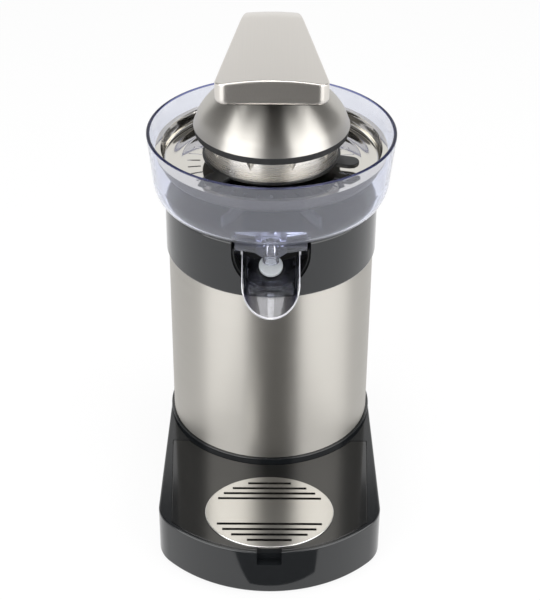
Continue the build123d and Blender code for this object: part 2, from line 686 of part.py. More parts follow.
def reamer_rib(thick, share):
    """Rib along +X that follows the cone and comes to a point on the band.

    It stands out by a share of the full rib's height.
    """
    band_r, band_z, tip, middle = cone_edges(0)
    in_r, in_z, in_tip, in_middle = cone_edges(REAMER_WALL)
    proud = RIB_PROUD * share
    foot_z = CONE_Z + RIB_FOOT
    foot_r = band_r - REAMER_WALL / 2
    shoulder = (band_r + RIB_SHOULDER * share, band_z)
    crest = (middle[0] + proud, middle[1] + proud * (1 - TIP_SHARE))
    top = (0, tip[1] + proud * TIP_SHARE)
    face = make_face(Curve() + [
        Line((foot_r, foot_z), shoulder),
        ThreePointArc(shoulder, crest, top),
        Line(top, in_tip),
        ThreePointArc(in_tip, in_middle, (in_r, in_z)),
        Line((in_r, in_z), (foot_r, foot_z)),
    ])
    half = thick / 2
    rib = Pos(0, half, 0) * extrude(Plane.XZ * face, thick)
    full_z = foot_z + RIB_POINT
    kite = [(0, foot_z), (half, full_z), (half, tip[1] + thick), (-half, tip[1] + thick), (-half, full_z)]
    return rib & extrude(Plane.YZ * make_face(Polyline(*kite, close=True)), REAMER_BASE_R)


def make_reamer():
    """Ribbed steel cone on a black base with pulp wings."""
    band_r, band_z, tip, middle = cone_edges(0)
    in_r, in_z, in_tip, in_middle = cone_edges(REAMER_WALL)
    skin = [
        Line((REAMER_R, CONE_Z), (band_r, band_z)),
        ThreePointArc((band_r, band_z), middle, tip),
        Line(tip, in_tip),
        ThreePointArc(in_tip, in_middle, (in_r, in_z)),
        Line((in_r, in_z), (REAMER_R - REAMER_WALL, CONE_Z)),
        Line((REAMER_R - REAMER_WALL, CONE_Z), (REAMER_R, CONE_Z)),
    ]
    cone = turned(*[Plane.XZ * edge for edge in skin])
    crest = reamer_rib(RIB_T, 1.0)
    flank = reamer_rib(FLANK_T, FLANK_SHARE)
    cone = fused([cone] + ring_of(crest, RIB_COUNT) + ring_of(flank, RIB_COUNT))

    base = drum(REAMER_BASE_R, REAMER_Z, CONE_Z)
    base += tube(SKIRT_R, SKIRT_R - SKIRT_T, REAMER_Z - SKIRT_H, REAMER_Z)
    reach = WING_R - WING_W / 2
    wing = block(REAMER_BASE_R - 3 * LAP, reach, -WING_W / 2, WING_W / 2, REAMER_Z - WING_DROP,
                 REAMER_Z - WING_DROP + WING_T)
    wing += drum(WING_W / 2, REAMER_Z - WING_DROP, REAMER_Z - WING_DROP + WING_T, reach, 0)
    base = fused([base] + ring_of(wing, WING_COUNT, WING_PHASE))
    base += drum(SOCKET_R, CONE_Z, SHAFT_TOP)
    socket = RegularPolygon(HEX_FLAT / 2 + RUN, 6, major_radius=False)
    base -= Pos(0, 0, REAMER_Z) * extrude(socket, SHAFT_TOP - REAMER_Z)
    base += drum(SOCKET_R, SHAFT_TOP, SHAFT_TOP + REAMER_WALL)
    return {"reamer_cone": cone, "reamer_base": base}


def gear_face(teeth, phase):
    """Spur gear outline with a tooth centred on the phase angle, in degrees."""
    pitch_r = MODULE * teeth / 2
    tip_r = pitch_r + ADDENDUM * MODULE
    root_r = pitch_r - DEDENDUM * MODULE
    base_r = pitch_r * cos(radians(PRESSURE_ANGLE))

    def roll(radius):
        """Involute angle at a radius, none below the base circle."""
        if radius <= base_r:
            return 0.0
        swing = sqrt((radius / base_r) ** 2 - 1)
        return swing - atan_of(swing)

    half_pitch = (pi * MODULE / 2 - BACKLASH) / 2 / pitch_r
    stations = [(radius, half_pitch + roll(pitch_r) - roll(radius)) for radius in (root_r, pitch_r, tip_r)]
    points = []
    for k in range(teeth):
        centre = radians(phase) + 2 * pi * k / teeth
        rising = [(radius, centre - half) for radius, half in stations]
        falling = [(radius, centre + half) for radius, half in reversed(stations)]
        points += [(radius * cos(angle), radius * sin(angle)) for radius, angle in rising + falling]
    return make_face(Polyline(*points, close=True))


def atan_of(slope):
    """Angle of a slope, in radians."""
    return radians(Vector(1, slope, 0).get_angle(Vector(1, 0, 0)))


def make_gears():
    """Motor pinion, compound gear on its axle, and output gear, in mesh."""
    half_tooth = 180 / WHEEL_TEETH
    pinion = Pos(0, 0, PINION_Z) * extrude(gear_face(PINION_TEETH, 90) - Circle(MOTOR_SHAFT_R + RUN), FACE_W)
    at_axle = Pos(0, GEAR_AXIS_Y, 0)
    wheel_z = PINION_Z + WHEEL_GAP
    small_top = OUTPUT_Z + FACE_W + STROKE
    wheel = extrude(gear_face(WHEEL_TEETH, 270 + half_tooth), FACE_W - 2 * WHEEL_GAP)
    small = extrude(gear_face(PINION_TEETH, 270), small_top - wheel_z)
    compound = at_axle * (Pos(0, 0, wheel_z) * (wheel + small)) - drum(
        AXLE_R + RUN, PINION_Z, small_top, 0, GEAR_AXIS_Y
    )
    output = Pos(0, 0, OUTPUT_Z) * extrude(
        gear_face(WHEEL_TEETH, 90 + half_tooth) - Circle(SHAFT_R + RUN), FACE_W
    )
    axle = drum(AXLE_R, PLATE_Z, GEARCASE_Z + GEARCASE_T / 2, 0, GEAR_AXIS_Y)
    axle += drum(AXLE_STEP_R, PLATE_TOP, wheel_z - SLIP, 0, GEAR_AXIS_Y)
    return {"motor_pinion": pinion, "compound_gear": compound, "output_gear": output, "gear_axle": axle}


def make_drive():
    """Gearbox plate and cover, drive shaft, thrust bush, spring, switch and seal."""
    plate = drum(PLATE_R, PLATE_Z, PLATE_TOP)
    for x, y in motor_screw_places():
        plate += drum(LEG_R, MOTOR_TOP, PLATE_Z, x, y)
        plate -= drum(SCREW_R + RUN, MOTOR_TOP, PLATE_Z, x, y)
    for x, y in post_places() + leg_places():
        plate -= drum(SCREW_R + SLIP, PLATE_Z, PLATE_TOP, x, y)
    plate += drum(END_HUB_R, PLATE_Z - MOTOR_DROP / 2, PLATE_TOP)
    plate -= drum(MOTOR_SHAFT_R + RUN, MOTOR_TOP, PLATE_TOP)
    plate -= drum(AXLE_R + RUN, PLATE_Z, PLATE_TOP, 0, GEAR_AXIS_Y)

    case_top = GEARCASE_Z + GEARCASE_T
    case = Pos(0, 0, GEARCASE_Z) * extrude(Circle(GEARCASE_X), GEARCASE_T)
    case += drum(GEARCASE_BOSS_R, GEARCASE_Z, BOSS_TOP)
    for x, y in leg_places():
        case += drum(LEG_R, PLATE_TOP, GEARCASE_Z + GEARCASE_T / 2, x, y)
        case -= drum(SCREW_R + RUN, PLATE_TOP, PLATE_TOP + BRACKET_SCREW_L, x, y)
    case -= drum(BUSH_R + RUN, GEARCASE_Z, BOSS_TOP)
    case -= drum(AXLE_R + RUN, GEARCASE_Z, GEARCASE_Z + GEARCASE_T / 2, 0, GEAR_AXIS_Y)
    for x, y in post_places():
        case -= drum(POST_R + FREE, GEARCASE_Z, case_top, x, y)

    shank = screw(SCREW_R, PLATE_T + BRACKET_SCREW_L - LAP, SCREW_HEAD_R, SCREW_HEAD_H)
    plate_screws = [Pos(x, y, PLATE_Z) * shank for x, y in post_places() + leg_places()]

    shaft = drum(SHAFT_R, OUTPUT_Z - LAP, CONE_Z - HEX_L / 4)
    shaft += drum(COLLAR_STEP_R, BUSH_TOP + RUN, BUSH_TOP + RUN + COLLAR_STEP_H)
    hex_key = RegularPolygon(HEX_FLAT / 2, 6, major_radius=False)
    shaft += Pos(0, 0, CONE_Z - HEX_L / 4) * extrude(hex_key, 1.25 * HEX_L)

    bush = drum(BUSH_R, OUTPUT_Z + FACE_W + RUN, FLANGE_Z) + drum(BUSH_FLANGE_R, FLANGE_Z, BUSH_TOP)
    bush += block(0, TAB_REACH, -TAB_W / 2, TAB_W / 2, FLANGE_Z, BUSH_TOP)
    bush -= drum(SHAFT_R + RUN, OUTPUT_Z, BUSH_TOP)
    spring = tube(BUSH_R + RUN + SPRING_T, BUSH_R + RUN, BOSS_TOP, FLANGE_Z)

    switch_x = SWITCH_X - SWITCH_L / 2
    switch = block(switch_x, switch_x + SWITCH_L, -SWITCH_W / 2, SWITCH_W / 2, case_top, case_top + SWITCH_H)
    switch -= drum(GEARCASE_BOSS_R + RUN, case_top, case_top + SWITCH_H)
    plunger_low = FLANGE_Z - PLUNGER_L
    switch -= drum(PLUNGER_R + RUN, plunger_low - STROKE - FREE, FLANGE_Z, SWITCH_X, 0)
    plunger = drum(PLUNGER_R, plunger_low, FLANGE_Z - TOUCH, SWITCH_X, 0)

    seal = tube(TOWER_BORE_R - RUN, SHAFT_R + RUN, TOP_Z + TOWER_H - SEAL_H, TOP_Z + TOWER_H)
    return {
        "gearbox_plate": plate,
        "gearbox_cover": case,
        "gearbox_screws": Compound(plate_screws),
        "drive_shaft": shaft,
        "thrust_bush": bush,
        "return_spring": spring,
        "micro_switch": switch,
        "switch_plunger": plunger,
        "shaft_seal": seal,
    }


def make_motor():
    """Motor hung under the gearbox plate: stator, coils, rotor, end plate and screws."""
    half = MOTOR_SIZE / 2
    stator = block(-half, half, -half, half, MOTOR_Z, MOTOR_TOP)
    stator = chamfer(stator.edges().filter_by(Axis.Z), half / 8)
    stator -= drum(MOTOR_BORE_R, MOTOR_Z, MOTOR_TOP)
    end_plate = block(-half, half, -half, half, END_PLATE_Z, END_PLATE_Z + END_PLATE_T)
    end_plate = chamfer(end_plate.edges().filter_by(Axis.Z), half / 8)
    end_plate += drum(END_HUB_R, END_PLATE_Z - END_PLATE_T, END_PLATE_Z)
    end_plate -= drum(MOTOR_SHAFT_R + RUN, END_PLATE_Z - END_PLATE_T, END_PLATE_Z + END_PLATE_T)
    screws = []
    shank = screw(SCREW_R, PLATE_Z - END_PLATE_Z - LAP, SCREW_HEAD_R, SCREW_HEAD_H)
    for x, y in motor_screw_places():
        end_plate += drum(LEG_R, END_PLATE_Z + END_PLATE_T, MOTOR_Z, x, y)
        end_plate -= drum(SCREW_R + RUN, END_PLATE_Z, MOTOR_Z, x, y)
        stator -= drum(SCREW_R + RUN, MOTOR_Z, MOTOR_TOP, x, y)
        screws.append(Pos(x, y, END_PLATE_Z) * shank)
    coil = block(half, half + COIL_T, -COIL_W / 2, COIL_W / 2, MOTOR_Z + 2 * LAP, MOTOR_TOP - 2 * LAP)
    coil = fillet(coil.edges().filter_by(Axis.Y), COIL_T / 3)
    rotor = drum(MOTOR_BORE_R - ROTOR_GAP, MOTOR_Z, MOTOR_TOP)
    rotor += drum(MOTOR_SHAFT_R, END_PLATE_Z - END_PLATE_T, PINION_Z + FACE_W)
    return {
        "motor_stator": stator,
        "motor_coils": Compound([coil, Rot(0, 0, 180) * coil]),
        "motor_rotor": rotor,
        "motor_end_plate": end_plate,
        "motor_screws": Compound(screws),
    }


def dome_profile(inset):
    """Edges of the dome's curve from its rim up to its flat top, drawn in by an inset."""
    top = DOME_TOP - inset
    shoulder, haunch, crown = [
        (r - inset, DOME_Z + z - inset * z / DOME_H) for r, z in (DOME_SHOULDER, DOME_HAUNCH, DOME_CROWN)
    ]
    return (DOME_R - inset, DOME_Z), shoulder, haunch, crown, (DOME_TOP_R, top), (0, top)


def dome_solid(inset):
    """Filled dome drawn in by an inset."""
    rim, shoulder, haunch, crown, edge, top = dome_profile(inset)
    edges = [
        Spline(rim, shoulder, haunch, crown, edge),
        Line(edge, top),
        Line(top, (0, DOME_Z)),
        Line((0, DOME_Z), rim),
    ]
    return turned(*[Plane.XZ * edge for edge in edges])


def make_dome():
    """Press dome with its liner and rim ring, on a stud that tilts in the lever."""
    shell = dome_solid(0) - dome_solid(DOME_WALL)
    liner = dome_solid(DOME_WALL) - dome_solid(DOME_WALL + DOME_LINER)
    ring = tube(DOME_RING_R, DOME_RING_R - DOME_RING_T, DOME_Z - DOME_RING_H, DOME_Z)
    ring = fillet(ring.faces().sort_by(Axis.Z)[0].edges(), DOME_RING_H / 4)
    stud = drum(STUD_R, DOME_TOP, DOME_TOP + STUD_L)
    stud -= cross_pin(STUD_PIN_R + RUN, STUD_R, 0, PIN_Z)
    return {"press_dome": shell, "dome_liner": liner, "dome_rim": ring, "dome_stud": stud}


def arm_solid(inset):
    """Lever arm drawn in from its top, sides, front and back by an inset, its underside kept."""
    top = ARM_TOP - inset
    back = ARM_BACK_Y - inset
    front = inset - ARM_FRONT_Y
    bend_z = ARM_TOP - ARM_BEND_R
    low_r = ARM_BEND_R - ARM_T
    inner_y = ARM_BACK_Y - ARM_REAR_T
    bend_r = ARM_BEND_R - inset
    turn = sqrt(0.5)
    knee = (ARM_BEND_Y + bend_r * turn, bend_z + bend_r * turn)
    low_end = (inner_y, bend_z)
    low_start = (ARM_BEND_Y, ARM_LOW)
    low_knee = (ARM_BEND_Y + (inner_y - ARM_BEND_Y) * turn, bend_z + low_r * turn)
    side = [
        Line((front, ARM_LOW), (front, top)),
        Line((front, top), (ARM_BEND_Y, top)),
        ThreePointArc((ARM_BEND_Y, top), knee, (back, bend_z)),
        Line((back, bend_z), (back, ARM_END_Z)),
        Line((back, ARM_END_Z), (inner_y, ARM_END_Z)),
        Line((inner_y, ARM_END_Z), low_end),
        ThreePointArc(low_end, low_knee, low_start),
        Line(low_start, (front, ARM_LOW)),
    ]
    profile = extrude(Plane.YZ * make_face(Curve() + side), ARM_HALF_FRONT, both=True)
    slope = (ARM_HALF_FRONT - ARM_HALF_REAR) / (ARM_FRONT_Y + ARM_BACK_Y)
    wide = ARM_HALF_FRONT - inset
    narrow = wide - slope * (back - front)
    plan = make_face(Polyline((-wide, front), (wide, front), (narrow, back), (-narrow, back), close=True))
    arm = profile & (Pos(0, 0, ARM_END_Z) * extrude(plan, ARM_TOP))
    crown = Pos(0, 0, top - ARM_CROWN_R) * Rot(90, 0, 0) * Cylinder(ARM_CROWN_R, 4 * ARM_BACK_Y)
    return arm & crown


def make_lever():
    """Lever with its steel shell, black core, hinge bracket and pins."""
    outer = arm_solid(0)
    uprights = outer.edges().filter_by(Axis.Z).group_by(Axis.Y)[0]
    outer = fillet(uprights, ARM_FRONT_R)
    shell = outer - arm_solid(ARM_SHELL)
    core = arm_solid(ARM_SHELL + RUN)
    knuckle = cross_pin(HINGE_KNUCKLE_R, HINGE_KNUCKLE_HALF, HINGE_Y, HINGE_Z)
    core_back = ARM_BACK_Y - ARM_SHELL - RUN
    core_front = ARM_BACK_Y - ARM_REAR_T
    knuckle += block(-HINGE_KNUCKLE_HALF, HINGE_KNUCKLE_HALF, core_front, core_back, HINGE_Z, ARM_END_Z)
    core += knuckle
    core -= cross_pin(HINGE_R + RUN, HINGE_KNUCKLE_HALF, HINGE_Y, HINGE_Z)
    play = STUD_L * tan(radians(DOME_TILT)) + FREE
    rise = STUD_R * tan(radians(DOME_TILT)) + FREE
    core -= block(-STUD_R - FREE, STUD_R + FREE, -STUD_R - play, STUD_R + play, ARM_LOW,
                  DOME_TOP + STUD_L + rise)
    pin_half = STUD_R + STUD_PIN_REACH
    core -= cross_pin(STUD_PIN_R + RUN, pin_half, 0, PIN_Z)
    stud_pin = cross_pin(STUD_PIN_R, pin_half - RUN, 0, PIN_Z)

    root = HINGE_Z - BRACKET_DEPTH_Z
    seat_y = COLLAR_R - HINGE_EAR_R
    side = [
        Line((seat_y, root), (COLLAR_R + HINGE_R, root)),
        Line((COLLAR_R + HINGE_R, root), (HINGE_Y + HINGE_EAR_R, HINGE_Z)),
        ThreePointArc((HINGE_Y + HINGE_EAR_R, HINGE_Z), (HINGE_Y, HINGE_Z + HINGE_EAR_R),
                      (HINGE_Y - HINGE_EAR_R, HINGE_Z)),
        Line((HINGE_Y - HINGE_EAR_R, HINGE_Z), (seat_y, HINGE_Z)),
        Line((seat_y, HINGE_Z), (seat_y, root)),
    ]
    bracket = extrude(Plane.YZ * make_face(Curve() + side), HINGE_BRACKET_HALF, both=True)
    bracket -= drum(COLLAR_R + RUN, 0, TOP_Z)
    gap = HINGE_KNUCKLE_HALF + FREE
    knuckle_room = HINGE_KNUCKLE_R + 2 * FREE
    bracket -= cross_pin(knuckle_room, gap, HINGE_Y, HINGE_Z)
    bracket -= block(-gap, gap, HINGE_Y, HINGE_Y + 2 * HINGE_EAR_R, root, HINGE_Z + HINGE_EAR_R)
    bracket -= block(-gap, gap, HINGE_Y - knuckle_room, HINGE_Y, HINGE_Z, HINGE_Z + HINGE_EAR_R)
    bracket -= cross_pin(HINGE_R + RUN, HINGE_BRACKET_HALF, HINGE_Y, HINGE_Z)
    screws = []
    screw_z = HINGE_Z - BRACKET_DEPTH_Z / 2
    inside = SLEEVE_R - SLEEVE_WALL - RUN - SPIGOT_WALL
    shank = screw(SCREW_R, BRACKET_SCREW_L, SCREW_HEAD_R, SCREW_HEAD_H)
    for x in (-HINGE_BRACKET_HALF / 2, HINGE_BRACKET_HALF / 2):
        head_y = sqrt(inside**2 - (abs(x) + SCREW_HEAD_R) ** 2)
        placed = Pos(x, head_y, screw_z) * Rot(-90, 0, 0)
        bracket -= placed * drum(SCREW_R + RUN, 0, BRACKET_SCREW_L + RUN)
        screws.append(placed * shank)
    return {
        "lever_shell": shell,
        "lever_core": core,
        "dome_pin": stud_pin,
        "hinge_bracket": bracket,
        "hinge_pin": cross_pin(HINGE_R, HINGE_BRACKET_HALF, HINGE_Y, HINGE_Z),
        "bracket_screws": Compound(screws),
    }


def main():
    """Builds every piece and writes one file for each."""
    os.makedirs("parts", exist_ok=True)
    nodes = {}
    for make in (make_base, make_tray, make_body, make_chute, make_bowl, make_sieve, make_reamer,
                 make_gears, make_drive, make_motor, make_dome, make_lever):
        nodes.update(make())
    for name, shape in nodes.items():
        export_step(Pos(0, FOOTPRINT_SHIFT, 0) * shape, f"parts/{name}.step")


if __name__ == "__main__":
    main()
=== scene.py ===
"""Dressed model of an electric citrus juicer with a press lever.

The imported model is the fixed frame. Each visible piece gets a finer mesh in the same place, and every
piece gets a finish. Sizes here are in millimetres and become metres where a mesh is made.
"""

import logging
from dataclasses import dataclass, field
from enum import Enum
from math import cos, exp, hypot, pi, radians, sin, sqrt, tan

import bmesh
import bpy
from mathutils import Matrix, Vector

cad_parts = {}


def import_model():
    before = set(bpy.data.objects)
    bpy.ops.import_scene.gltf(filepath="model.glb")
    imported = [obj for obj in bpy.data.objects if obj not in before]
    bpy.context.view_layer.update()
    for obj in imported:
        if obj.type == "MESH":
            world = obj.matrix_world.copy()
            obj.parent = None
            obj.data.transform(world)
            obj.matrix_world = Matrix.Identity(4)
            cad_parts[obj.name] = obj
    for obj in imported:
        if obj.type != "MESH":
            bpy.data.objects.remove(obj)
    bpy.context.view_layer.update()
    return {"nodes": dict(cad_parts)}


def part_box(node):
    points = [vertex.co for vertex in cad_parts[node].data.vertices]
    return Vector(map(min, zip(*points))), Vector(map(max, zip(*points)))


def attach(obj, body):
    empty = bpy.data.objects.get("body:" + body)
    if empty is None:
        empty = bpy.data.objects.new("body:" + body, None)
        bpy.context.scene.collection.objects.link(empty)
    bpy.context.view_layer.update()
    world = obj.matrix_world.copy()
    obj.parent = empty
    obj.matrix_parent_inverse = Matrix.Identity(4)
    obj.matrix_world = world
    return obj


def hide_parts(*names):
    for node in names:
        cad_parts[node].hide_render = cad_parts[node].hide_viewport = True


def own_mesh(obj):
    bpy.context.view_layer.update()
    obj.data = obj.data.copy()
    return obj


LOG = logging.getLogger("juicer")
MM = 0.001
TURN_STEPS = 160
SHARP_ANGLE = 32.0
MERGE = 1e-4
# How far, in millimetres, a cutter runs past a face, or a piece into the one that it joins.
PAST = 1.0
UNDERSIDE = "underside"
TO_WORLD = {"vector_type": "VECTOR", "convert_from": "OBJECT", "convert_to": "WORLD"}
# Sockets of the Mix node by its kind of data: first value, second value, result.
COLOUR_A, COLOUR_B, COLOUR_OUT = 6, 7, 2
VECTOR_A, VECTOR_B, VECTOR_OUT = 4, 5, 1
FLOAT_A, FLOAT_B, FLOAT_OUT = 2, 3, 0

Point = tuple[float, float]
Outline = list[Point]
Place = tuple[float, float, float]
Colour = tuple[float, float, float, float]
Tree = bpy.types.NodeTree
Socket = bpy.types.NodeSocket
Sockets = bpy.types.bpy_prop_collection
Piece = bpy.types.Object
Material = bpy.types.Material


class Lay(Enum):
    """Direction of the brush lines on a steel piece."""

    AROUND = "around the drive axis"
    LENGTHWISE = "front to back"
    CROSSWISE = "side to side"


class Body(Enum):
    """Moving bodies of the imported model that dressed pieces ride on."""

    HOUSING = "housing"
    TRAY = "tray"
    GRILLE = "grille"
    CHUTE = "chute"
    LEVER = "lever"
    DOME = "dome"
    DRIVE = "drive"
    CARRIAGE = "press_carriage"


def linear(colour: str, share: float = 1.0) -> Colour:
    """Turns an sRGB hex colour to linear light.

    Args:
        colour: six hex digits with a leading hash.
        share: how much of the light is kept.

    Returns:
        Red, green, blue and an alpha of one.
    """
    channels = [int(colour[k : k + 2], 16) / 255 for k in (1, 3, 5)]
    curve = [c / 12.92 if c <= 0.04045 else ((c + 0.055) / 1.055) ** 2.4 for c in channels]
    return (curve[0] * share, curve[1] * share, curve[2] * share, 1.0)


def add_node(tree: Tree, kind: str, inputs: dict | None = None, **settings: object) -> Sockets:
    """Adds a node with its settings and links.

    Args:
        tree: node tree that gets the node.
        kind: the node's type name.
        inputs: input sockets by name or index, each with a value, or an output socket or several to link.
        settings: the node's own properties.

    Returns:
        The node's outputs.
    """
    node = tree.nodes.new(kind)
    for key, value in settings.items():
        setattr(node, key, value)
    for key, value in (inputs or {}).items():
        sources = value if isinstance(value, list) else [value]
        for source in sources:
            if isinstance(source, Socket):
                tree.links.new(source, node.inputs[key])
            else:
                node.inputs[key].default_value = source
    return node.outputs


def blank_material(name: str) -> tuple[Material, Tree]:
    """Makes a material without nodes.

    Args:
        name: the material's name.

    Returns:
        The material and its node tree.
    """
    material = bpy.data.materials.new(name)
    material.use_nodes = True
    material.node_tree.nodes.clear()
    return material, material.node_tree


@dataclass(frozen=True)
class BrushedSteel:
    """Stainless steel sheet brushed in one direction: long satin streaks across the lines.

    Real brush lines are about 0.1 mm apart, too fine to show in the picture, so they are drawn coarser.
    """

    name: str
    colour: str
    roughness: float
    lay: Lay
    axis_y: float
    line: float = 0.6
    depth: float = 0.004
    spread: float = 0.92
    drift: float = 0.006
    side_share: float = 0.25
    contrast: float = 0.06
    turn: float = 0.25
    front: float | None = None
    detail: float = 3.0
    jitter: float = 0.65
    noise_band: Point = (0.3, 0.7)
    gloss_swing: float = 0.04
    bump: float = 0.25

    def _pattern(self, tree: Tree) -> Socket:
        """Coordinates that change fast across the brush lines and slowly along them.

        Args:
            tree: the material's node tree.

        Returns:
            The vector socket of the pattern.
        """
        place = add_node(tree, "ShaderNodeTexCoord")["Object"]
        fast = 1 / (self.line * MM)
        slow = fast * self.drift
        scales = {
            Lay.AROUND: (fast, fast, slow),
            Lay.LENGTHWISE: (fast, slow, fast * self.side_share),
            Lay.CROSSWISE: (slow, fast, fast),
        }
        if self.lay is Lay.AROUND:
            centred = add_node(
                tree, "ShaderNodeMapping", {"Vector": place, "Location": (0, -self.axis_y * MM, 0)}
            )["Vector"]
            flat = add_node(
                tree, "ShaderNodeVectorMath", {0: centred, 1: (1, 1, 0)}, operation="MULTIPLY"
            )["Vector"]
            radius = add_node(tree, "ShaderNodeVectorMath", {0: flat}, operation="LENGTH")["Value"]
            parts = add_node(tree, "ShaderNodeSeparateXYZ", {"Vector": centred})
            place = add_node(
                tree, "ShaderNodeCombineXYZ", {"X": radius, "Y": parts["Z"], "Z": parts["X"]}
            )["Vector"]
        return add_node(
            tree, "ShaderNodeVectorMath", {0: place, 1: scales[self.lay]}, operation="MULTIPLY"
        )["Vector"]

    def _front_tangent(self, tree: Tree, tangent: Socket) -> Socket:
        """Lets the brush lines run side to side on the front end.

        Args:
            tree: the material's node tree.
            tangent: the direction across the lines elsewhere.

        Returns:
            The direction across the lines.
        """
        place = add_node(tree, "ShaderNodeTexCoord")["Object"]
        depth = add_node(tree, "ShaderNodeSeparateXYZ", {"Vector": place})["Y"]
        behind = add_node(
            tree, "ShaderNodeMath", {0: depth, 1: self.front * MM}, operation="GREATER_THAN"
        )["Value"]
        upright = add_node(tree, "ShaderNodeVectorTransform", {"Vector": (0, 0, 1)}, **TO_WORLD)["Vector"]
        return add_node(
            tree, "ShaderNodeMix", {0: behind, VECTOR_A: upright, VECTOR_B: tangent}, data_type="VECTOR"
        )[VECTOR_OUT]

    def _tangent(self, tree: Tree) -> Socket:
        """Direction that the shader spreads its highlights by.

        Args:
            tree: the material's node tree.

        Returns:
            The direction's socket.
        """
        if self.lay is Lay.AROUND:
            return add_node(tree, "ShaderNodeTangent", direction_type="RADIAL", axis="Z")["Tangent"]
        across = (1, 0, 0) if self.lay is Lay.LENGTHWISE else (0, 1, 0)
        tangent = add_node(tree, "ShaderNodeVectorTransform", {"Vector": across}, **TO_WORLD)["Vector"]
        return tangent if self.front is None else self._front_tangent(tree, tangent)

    def build(self) -> Material:
        """Makes the material.

        Returns:
            The finished material.
        """
        material, tree = blank_material(self.name)
        noise = add_node(
            tree, "ShaderNodeTexNoise",
            {"Vector": self._pattern(tree), "Scale": 1.0, "Detail": self.detail, "Roughness": self.jitter},
        )["Fac"]
        least, most = self.noise_band
        rough = add_node(
            tree, "ShaderNodeMapRange",
            {"Value": noise, "From Min": least, "From Max": most,
             "To Min": self.roughness - self.gloss_swing, "To Max": self.roughness + self.gloss_swing},
        )["Result"]
        dull = linear(self.colour, 1 - self.contrast)
        tone = add_node(
            tree, "ShaderNodeMix", {"Factor": noise, COLOUR_A: dull, COLOUR_B: linear(self.colour)},
            data_type="RGBA",
        )[COLOUR_OUT]
        bump = add_node(
            tree, "ShaderNodeBump", {"Height": noise, "Strength": self.bump, "Distance": self.depth * MM}
        )["Normal"]
        finish = {
            "Base Color": tone, "Metallic": 1.0, "Roughness": rough, "Normal": bump,
            "Anisotropic": self.spread, "Tangent": self._tangent(tree),
        }
        if self.lay is Lay.AROUND:
            finish["Anisotropic Rotation"] = self.turn
        surface = add_node(tree, "ShaderNodeBsdfPrincipled", finish)["BSDF"]
        add_node(tree, "ShaderNodeOutputMaterial", {"Surface": surface})
        return material


@dataclass(frozen=True)
class Moulded:
    """Injection-moulded plastic or rubber: even colour with the faint grain of the mould.

    A real mould's grain is about 0.1 mm, too fine to show in the picture, so it is drawn coarser.
    """

    name: str
    colour: str
    roughness: float
    grain: float = 0.9
    depth: float = 0.01
    ior: float = 1.5
    vary: float = 0.12
    detail: float = 2.0
    bump: float = 0.2

    def build(self) -> Material:
        """Makes the material.

        Returns:
            The finished material.
        """
        material, tree = blank_material(self.name)
        place = add_node(tree, "ShaderNodeTexCoord")["Object"]
        noise = add_node(
            tree, "ShaderNodeTexNoise",
            {"Vector": place, "Scale": 1 / (self.grain * MM), "Detail": self.detail},
        )["Fac"]
        bump = add_node(
            tree, "ShaderNodeBump", {"Height": noise, "Strength": self.bump, "Distance": self.depth * MM}
        )["Normal"]
        # The mould leaves the skin a little duller and paler in some places than in others.
        less, more = 1 - self.vary, 1 + self.vary
        rough = add_node(
            tree, "ShaderNodeMapRange",
            {"Value": noise, "To Min": self.roughness * less, "To Max": self.roughness * more},
        )["Result"]
        tone = add_node(
            tree, "ShaderNodeMix",
            {"Factor": noise, COLOUR_A: linear(self.colour, less), COLOUR_B: linear(self.colour, more)},
            data_type="RGBA",
        )[COLOUR_OUT]
        finish = {"Base Color": tone, "Roughness": rough, "Normal": bump, "IOR": self.ior}
        surface = add_node(tree, "ShaderNodeBsdfPrincipled", finish)["BSDF"]
        add_node(tree, "ShaderNodeOutputMaterial", {"Surface": surface})
        return material


